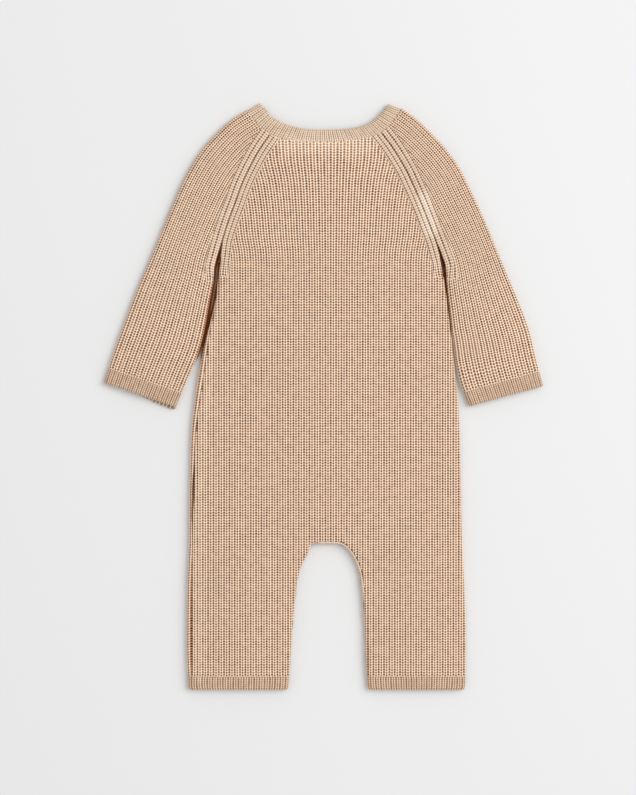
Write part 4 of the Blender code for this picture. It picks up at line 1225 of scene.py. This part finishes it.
print("chains round a tube with ten ribs on top:", len(around_tube(10)))

# %% [markdown]
# ## Along a sleeve
# A sleeve lies at a slant, so its tube is placed square to its outer fold, which is a smooth line from the
# cuff to the neck. The band beside the raglan starts on the sleeve's inner edge, a few rows below the
# underarm.

# %% Along a sleeve
Sleeve = namedtuple("Sleeve", "x y width")
LEFT_SLEEVE = table(Sleeve,  # along the outer fold, from the cuff to past the neck; width is square to it
    (-197.5, 12.0, 68.4), (-189.0, 36.9, 70.0), (-178.2, 66.6, 71.0), (-166.5, 97.2, 66.6),
    (-155.7, 122.4, 60.8), (-146.7, 144.0, 55.6), (-134.1, 174.6, 55.0), (-123.3, 198.0, 55.0),
    (-111.6, 217.8, 55.0), (-98.1, 234.0, 54.0), (-83.7, 247.5, 53.0), (-68.4, 257.4, 52.0),
    (-54.9, 266.4, 50.0),
)
RIGHT_SLEEVE = table(Sleeve,
    (198.5, 9.0, 69.0), (192.0, 32.8, 71.0), (185.8, 58.5, 70.0), (176.9, 82.8, 65.5), (165.6, 109.8, 57.2),
    (154.4, 136.8, 48.8), (143.1, 163.8, 49.0), (132.8, 185.4, 50.0), (121.8, 207.0, 51.0),
    (109.8, 223.2, 51.0), (94.5, 239.4, 51.0), (82.8, 250.2, 51.0), (70.2, 259.2, 51.0),
    (58.5, 266.4, 50.0),
)
CUFF = 13.5                 # depth of a cuff
LEAD_ROWS = (7, 4, 1)       # the band's line starts this many rows below the underarm


def on_line(line, side, along, tube_skin):
    """Places and inward directions from a tube's own ones, square to the outer fold at distances along."""
    x, z, inward_x, inward_z = tube_skin
    across = rightwards(line.ahead(along)) * -side
    spot = line.at(along) + across * x[:, None]
    z = z + swell(inward_z, spot[:, 0], spot[:, 1])
    return np.column_stack([spot, z]), np.column_stack([across * inward_x[:, None], inward_z])


def from_inner_edge(line, side, count=400):
    """A function that gives how far places on a sleeve are from its inner edge."""
    along = np.linspace(0.0, line.length, count)
    spots, ahead, width = line.at(along), line.ahead(along), line.read(along, "width")

    def distance(x, y):
        away = np.abs((x[:, None] - spots[:, 0]) * ahead[:, 0] + (y[:, None] - spots[:, 1]) * ahead[:, 1])
        near = np.argmin(away, axis=1)
        across = ((x - spots[near, 0]) * ahead[near, 1] - (y - spots[near, 1]) * ahead[near, 0]) * -side
        return width[near] - across
    return distance


def inner_edge_spots(line, side):
    """Places up the inner edge of a sleeve, some whole rows below the underarm."""
    along = np.arange(CUFF, line.length, ROW)
    edge = line.at(along) - side * line.read(along, "width")[:, None] * rightwards(line.ahead(along))
    underarm = np.argmin(np.abs(edge[:, 1] - UNDERARM))
    return [Spot(*edge[underarm - rows]) for rows in LEAD_ROWS]


print("length of the left sleeve's outer fold, mm:", round(Line(LEFT_SLEEVE).length, 1))

# %% [markdown]
# ## The sleeves
# A sleeve is one piece folded along its outer edge, and its ribs follow that fold. At the top they slip
# under the band beside the raglan, and past it they end at the neckband.

# %% Sleeves
SLEEVE_RIBS = 14
NECK_CLEAR, BAND_CLEAR = 0.5, 0.3       # the ribs and the band end this far before the neckband's seam
FAR_OUT = 1000.0                        # out here there is no edge to stop a chain
OVER_START, OVER_END = 1.0, 6.0         # chains that end between these heights slip under the band
CUFF_DROP = 0.2                         # where they start, the ribs are level with the cuff
CUFF_MARKS = 2.5                        # and they rise over these marks


def make_sleeve(side, rows, seam, front_seam, name, node):
    """side is -1 for the sleeve at -X and 1 for the one at +X."""
    cloth = Cloth()
    line = Line(rows)
    along_band = inner_edge_spots(line, side) + seam[2:]
    band_edge = [Spot(*place) for place in band_far_edge(along_band, side * SLEEVE_BAND[-1])]
    band_start = band_edge[0].y + OVERLAP

    def shoulder_of(neck_seam, raglan):
        """The neckband's seam past a raglan, upwards."""
        past_raglan = [spot for spot in neck_seam if side * spot.x >= side * raglan[-1].x]
        return sorted(past_raglan, key=lambda spot: spot.y)

    shoulder, front_shoulder = shoulder_of(BACK_NECK_SEAM, seam), shoulder_of(FRONT_NECK_SEAM, front_seam)

    def past(places, edge, start):
        """How far places are past an edge, on the sleeve's side; below its start there is no edge."""
        x, y = places[:, 0], places[:, 1]
        edge_x = np.interp(y, values(edge, "y"), values(edge, "x"))
        return side * (x - np.where(y < start, -side * FAR_OUT, edge_x))

    def past_neck(places, neck_seam, clear):
        return np.minimum(past(places, neck_seam, neck_seam[0].y) - clear, shoulder[-1].y - places[:, 1])

    def spare_above(places):
        return np.minimum(past(places, band_edge, band_start), past_neck(places, shoulder, NECK_CLEAR))

    def spare_below(places):
        room = np.minimum(past(places, front_seam, UNDERARM), past_neck(places, front_shoulder, NECK_CLEAR))
        return room - TUCK

    def band_spare(places):
        return past_neck(places, shoulder, BAND_CLEAR)

    marks = np.arange(int((line.length - CUFF) / (ROW / 2)))
    chains = []
    for around in around_tube(SLEEVE_RIBS):
        def skin_of(marks, around=around):
            along = CUFF + marks * ROW / 2
            tube = Tube(np.zeros(len(along)), line.read(along, "width"))
            place, inward = on_line(line, side, along, tube.skin(around.stop(tube)))
            if around.is_far_bend:
                place[:, 0] -= side * flared(place[:, 1], place[:, 2], FLARE if side < 0 else RIGHT_FLARE)
            return place, inward

        spare = spare_above if around.is_upper else spare_below
        own = marks[::INNER_STEP] if around.is_plain else marks
        own = kept(own, lambda marks: spare(skin_of(marks)[0]))
        place, inward = skin_of(own)
        top_x, top_y = place[-1, :2]
        is_cut = around.is_upper and side * (top_x - seam[-1].x) > 0 \
            and band_start + OVER_START < top_y < seam[-1].y + OVER_END
        rise = sunk(around.rises(CHUNKY, own), own, is_cut)
        rise = rise - (rise + CUFF_DROP) * ease(1 - own / CUFF_MARKS)
        chains.append(cloth.chain(own, (place, inward), rise, around.rib, backed=around.is_backed))
    cloth.shell(chains, closed=True)

    inner = from_inner_edge(line, side)

    def sleeve_up(x, y, from_seam):
        return TOP_LIE - bent_down(inner(x, y)) + lift(x, y)

    width = rows[int(np.argmin(np.abs(values(rows, "y") - UNDERARM)))].width
    lead_stops = ribs_over_edge(float(Tube(0.0, width).half) / SLEEVE_RIBS, SLEEVE_BAND, 0.0)
    raglan_band(cloth, along_band, side, lead_stops, SLEEVE_BAND, sleeve_up, band_spare)
    return cloth.finish(name, chunky_finish, "chunky_rib", node, ribs_round=2 * SLEEVE_RIBS)


left_sleeve = make_sleeve(-1, LEFT_SLEEVE, LEFT_RAGLAN, LEFT_FRONT_RAGLAN,
                          "sleeve_knit_left", "sleeve_left")
right_sleeve = make_sleeve(1, RIGHT_SLEEVE, RIGHT_RAGLAN, RIGHT_FRONT_RAGLAN,
                           "sleeve_knit_right", "sleeve_right")

# %% [markdown]
# ## Cuffs and hems
# The cuffs and the hems are knitted finer and tighter, so their ribs are narrow and low. They are rings,
# each ends in a plain cast-off edge, and the left cuff's lower layer peeps out a little.

# %% Cuffs and hems
CUFF_RIBS = 18
HEM_RIBS = 20
RING_SHADE = 0.27       # the cuffs and hems are made darker still
EDGE_DROP = 0.5         # the cast-off edge is this much lower


def make_ring(name, node, ribs, length, skin_of):
    """A flat ring: skin_of gives the skin at distances from its free edge, for a function of the tube."""
    cloth = Cloth()
    marks = np.arange(round(length / (FINE_ROW / 2)) + 1)
    along = marks * length / marks[-1]
    marks, along = np.append(marks, marks[-1] + 1), np.append(along, length + UNDERLAP)
    chains = []
    for around in around_tube(ribs):
        shown = np.isin(marks, marks[[0, -2, -1]]) if around.is_plain else np.full(len(marks), True)
        rise = around.rises(FINE, marks) - EDGE_DROP * (marks == 0) - UNDERLAP * (marks == marks[-1])
        chains.append(cloth.chain(marks[shown], skin_of(along[shown], around.stop), rise[shown], around.rib,
                                  backed=around.is_backed, shade=RING_SHADE))
    cloth.shell(chains, closed=True)
    return cloth.finish(name, fine_finish, "fine_rib", node, ribs_round=2 * ribs)


def make_cuff(side, rows, name, node, peep=0.0):
    """A cuff; its lower layer may come out past the upper one, by peep, near the inner edge."""
    line = Line(rows)

    def skin_of(along, stop):
        tube = Tube(np.zeros(len(along)), line.read(along, "width"))
        skin = tube.skin(stop(tube))
        place, inward = on_line(line, side, along, skin)
        inner_half, lower = ease(2.4 * skin[0] / tube.right - 1.0), ease(1 - skin[1] / TOP_LIE)
        place[:, :2] -= line.ahead(along) * (peep * (inner_half * lower * (1 - along / CUFF)))[:, None]
        return place, inward
    return make_ring(name, node, CUFF_RIBS, CUFF, skin_of)


def make_hem(rows, name, node):
    def skin_of(along, stop):
        height = HEM + along
        tube = leg_tube(rows, height)
        x, z, inward_x, inward_z = tube.skin(stop(tube))
        place = np.stack([x, height, z + swell(inward_z, x, height)], axis=-1)
        return place, np.stack([inward_x, np.zeros_like(x), inward_z], axis=-1)
    return make_ring(name, node, HEM_RIBS, HEM_JOINT - HEM, skin_of)


left_cuff = make_cuff(-1, LEFT_SLEEVE, "cuff_knit_left", "cuff_left", peep=2.6)
right_cuff = make_cuff(1, RIGHT_SLEEVE, "cuff_knit_right", "cuff_right")
left_hem = make_hem(LEFT_LEG, "hem_knit_left", "leg_hem_left")
right_hem = make_hem(RIGHT_LEG, "hem_knit_right", "leg_hem_right")

# %% [markdown]
# ## The neckband
# The neckband is a ring of fine rib that stands square to the neck's edge. Its back half lies on top of the
# front half and covers less of the opening, because a front neck is cut lower.

# %% Neckband
BACK_NECK_EDGE = table(Spot,  # free edge of the neckband, from fold to fold
    (-56.7, 264.6), (-51.3, 258.3), (-47.7, 252.9), (-42.3, 249.3), (-31.5, 244.4), (-16.2, 240.8),
    (1.8, 240.1), (19.8, 240.8), (33.3, 243.0), (44.1, 247.5), (53.1, 255.6), (58.5, 263.7),
)
FRONT_NECK_EDGE = table(Spot,
    (-56.7, 264.6), (-54.0, 250.0), (-49.5, 240.0), (-45.0, 231.0), (-37.0, 222.5), (-27.0, 216.5),
    (-13.0, 213.4), (2.3, 212.5), (17.0, 213.4), (32.0, 216.5), (42.0, 222.5), (50.0, 231.0), (54.0, 240.0),
    (57.0, 251.0), (58.5, 263.7),
)
NECK_RIBS = 36
NECK_ROWS = 6
FRONT_NECK_CHAINS = 48
FOLD_RIBS = 2           # ribs round the bend at each side fold
EDGE_ROUND = 1.2        # the free edge is rounded off by this much
EDGE_MARKS = 3          # over these marks


def fold_line(end):
    """Outer end of the neckband at a side fold: its free edge, its seam and the way out."""
    edge, seam = np.array(BACK_NECK_EDGE[end]), np.array(BACK_NECK_SEAM[end])
    along = (seam - edge) / np.linalg.norm(seam - edge)
    out = np.array([-along[1], along[0]])
    return edge, seam, out if out[1] > 0 else -out


def drawn_in(rows):
    """A line of the neckband with both ends drawn in to where the bend at the fold starts."""
    rows = list(rows)
    for end in (0, -1):
        out = fold_line(end)[2]
        rows[end] = Spot(*(np.array(rows[end]) - out * FOLD_RADIUS))
    return Line(rows)


def make_neckband():
    cloth = Cloth()
    marks = np.arange(2 * NECK_ROWS + 2)        # the last one is past the seam, under the body
    chains = []

    def add(edge, seam, up, inward, kind, rib, own=marks):
        across = edge + (seam - edge) * (own / marks[-2])[:, None]
        on_top = max(0.0, -inward[2])
        round_off = EDGE_ROUND * ease(1 - own / EDGE_MARKS) * on_top
        place = np.column_stack([across, up - round_off + on_top * lift(*across.T)])
        rise = rises(FINE, kind, own) - UNDERLAP * (own == marks[-1])
        chains.append(cloth.chain(own, (place, np.tile(inward, (len(own), 1))), rise, rib, backed=kind == 0))

    edge_line, seam_line = drawn_in(BACK_NECK_EDGE), drawn_in(BACK_NECK_SEAM)
    over = POINTS_A_RIB * NECK_RIBS
    for index in range(over + 1):
        part = index / over
        add(edge_line.at(part * edge_line.length), seam_line.at(part * seam_line.length),
            TOP_LIE, (0.0, 0.0, -1.0), index % POINTS_A_RIB, index / POINTS_A_RIB)

    def bend(end, downwards):
        edge, seam, out = fold_line(end)
        for step in range(1, 2 * BEND_CHAINS):
            turn = math.pi * (0.5 - step / (2 * BEND_CHAINS)) * (1 if downwards else -1)
            shift = out * FOLD_RADIUS * (math.cos(turn) - 1)
            inward = (-out[0] * math.cos(turn), -out[1] * math.cos(turn), -math.sin(turn))
            rib = (NECK_RIBS if downwards else 2 * NECK_RIBS - FOLD_RIBS) + step / POINTS_A_RIB
            add(edge + shift, seam + shift, FOLD_RADIUS * (1 + math.sin(turn)), inward, 0, rib)

    bend(-1, True)
    edge_line, seam_line = drawn_in(FRONT_NECK_EDGE), drawn_in(FRONT_NECK_SEAM)
    for index in range(FRONT_NECK_CHAINS + 1):
        part = 1 - index / FRONT_NECK_CHAINS
        rib = NECK_RIBS + FOLD_RIBS + index / FRONT_NECK_CHAINS * (NECK_RIBS - 2 * FOLD_RIBS)
        add(edge_line.at(part * edge_line.length), seam_line.at(part * seam_line.length),
            0.0, (0.0, 0.0, 1.0), 0, rib, own=marks[[0, NECK_ROWS, -2, -1]])
    bend(0, False)
    cloth.shell(chains, closed=True)
    return cloth.finish("neck_knit", fine_finish, "fine_rib", "neckband", ribs_round=2 * NECK_RIBS)


neckband = make_neckband()

# %% [markdown]
# ## Floor, light and camera
# The garment lies on a plain pale floor and is seen from straight above. One large soft light from the
# right and the top leaves soft shadows along the left edges, and the sky fills them. A long lens keeps the
# edges of the picture from leaning outwards.

# %% Floor, light and camera
bpy.ops.object.select_all(action="DESELECT")
FLOOR_GAP = 0.0003          # so that cloth and floor don't share a plane
PICTURE_LENGTH = 0.7155     # what the picture's longer side spans at the cloth
PICTURE_MIDDLE = (-0.0045, -0.00135)
CLOTH_TOP = 0.007
bpy.ops.mesh.primitive_plane_add(size=6.0, location=(0.0, 0.0, -FLOOR_GAP))
floor = bpy.context.object
floor.name = "floor"
paper = Finish("paper")
paper.surface({"Base Color": (0.785, 0.787, 0.787, 1), "Roughness": 0.9, "Specular IOR Level": 0.1})
floor.data.materials.append(paper.material)

world = bpy.data.worlds.new("sky")
bpy.context.scene.world = world
world.use_nodes = True
sky = world.node_tree.nodes["Background"].inputs
sky["Color"].default_value = (1.0, 1.0, 1.0, 1)
sky["Strength"].default_value = 0.74

key = bpy.data.lights.new("window", "AREA")
key.shape = "RECTANGLE"
key.size, key.size_y = 2.4, 2.4
key.energy = 70.0
key_object = bpy.data.objects.new("window", key)
bpy.context.collection.objects.link(key_object)
key_object.location = (2.3, 0.9, 2.6)
key_object.rotation_euler = key_object.location.to_track_quat("Z", "Y").to_euler()

camera = bpy.data.cameras.new("camera")
camera.lens, camera.sensor_width = 85.0, 36.0
camera.dof.use_dof = False
camera_object = bpy.data.objects.new("camera", camera)
bpy.context.collection.objects.link(camera_object)
camera_height = PICTURE_LENGTH * camera.lens / camera.sensor_width + CLOTH_TOP
camera_object.location = (*PICTURE_MIDDLE, camera_height)
bpy.context.scene.camera = camera_object
bpy.context.scene.view_settings.view_transform = "Standard"
print("camera height, m:", round(camera_object.location.z, 3))

# %% [markdown]
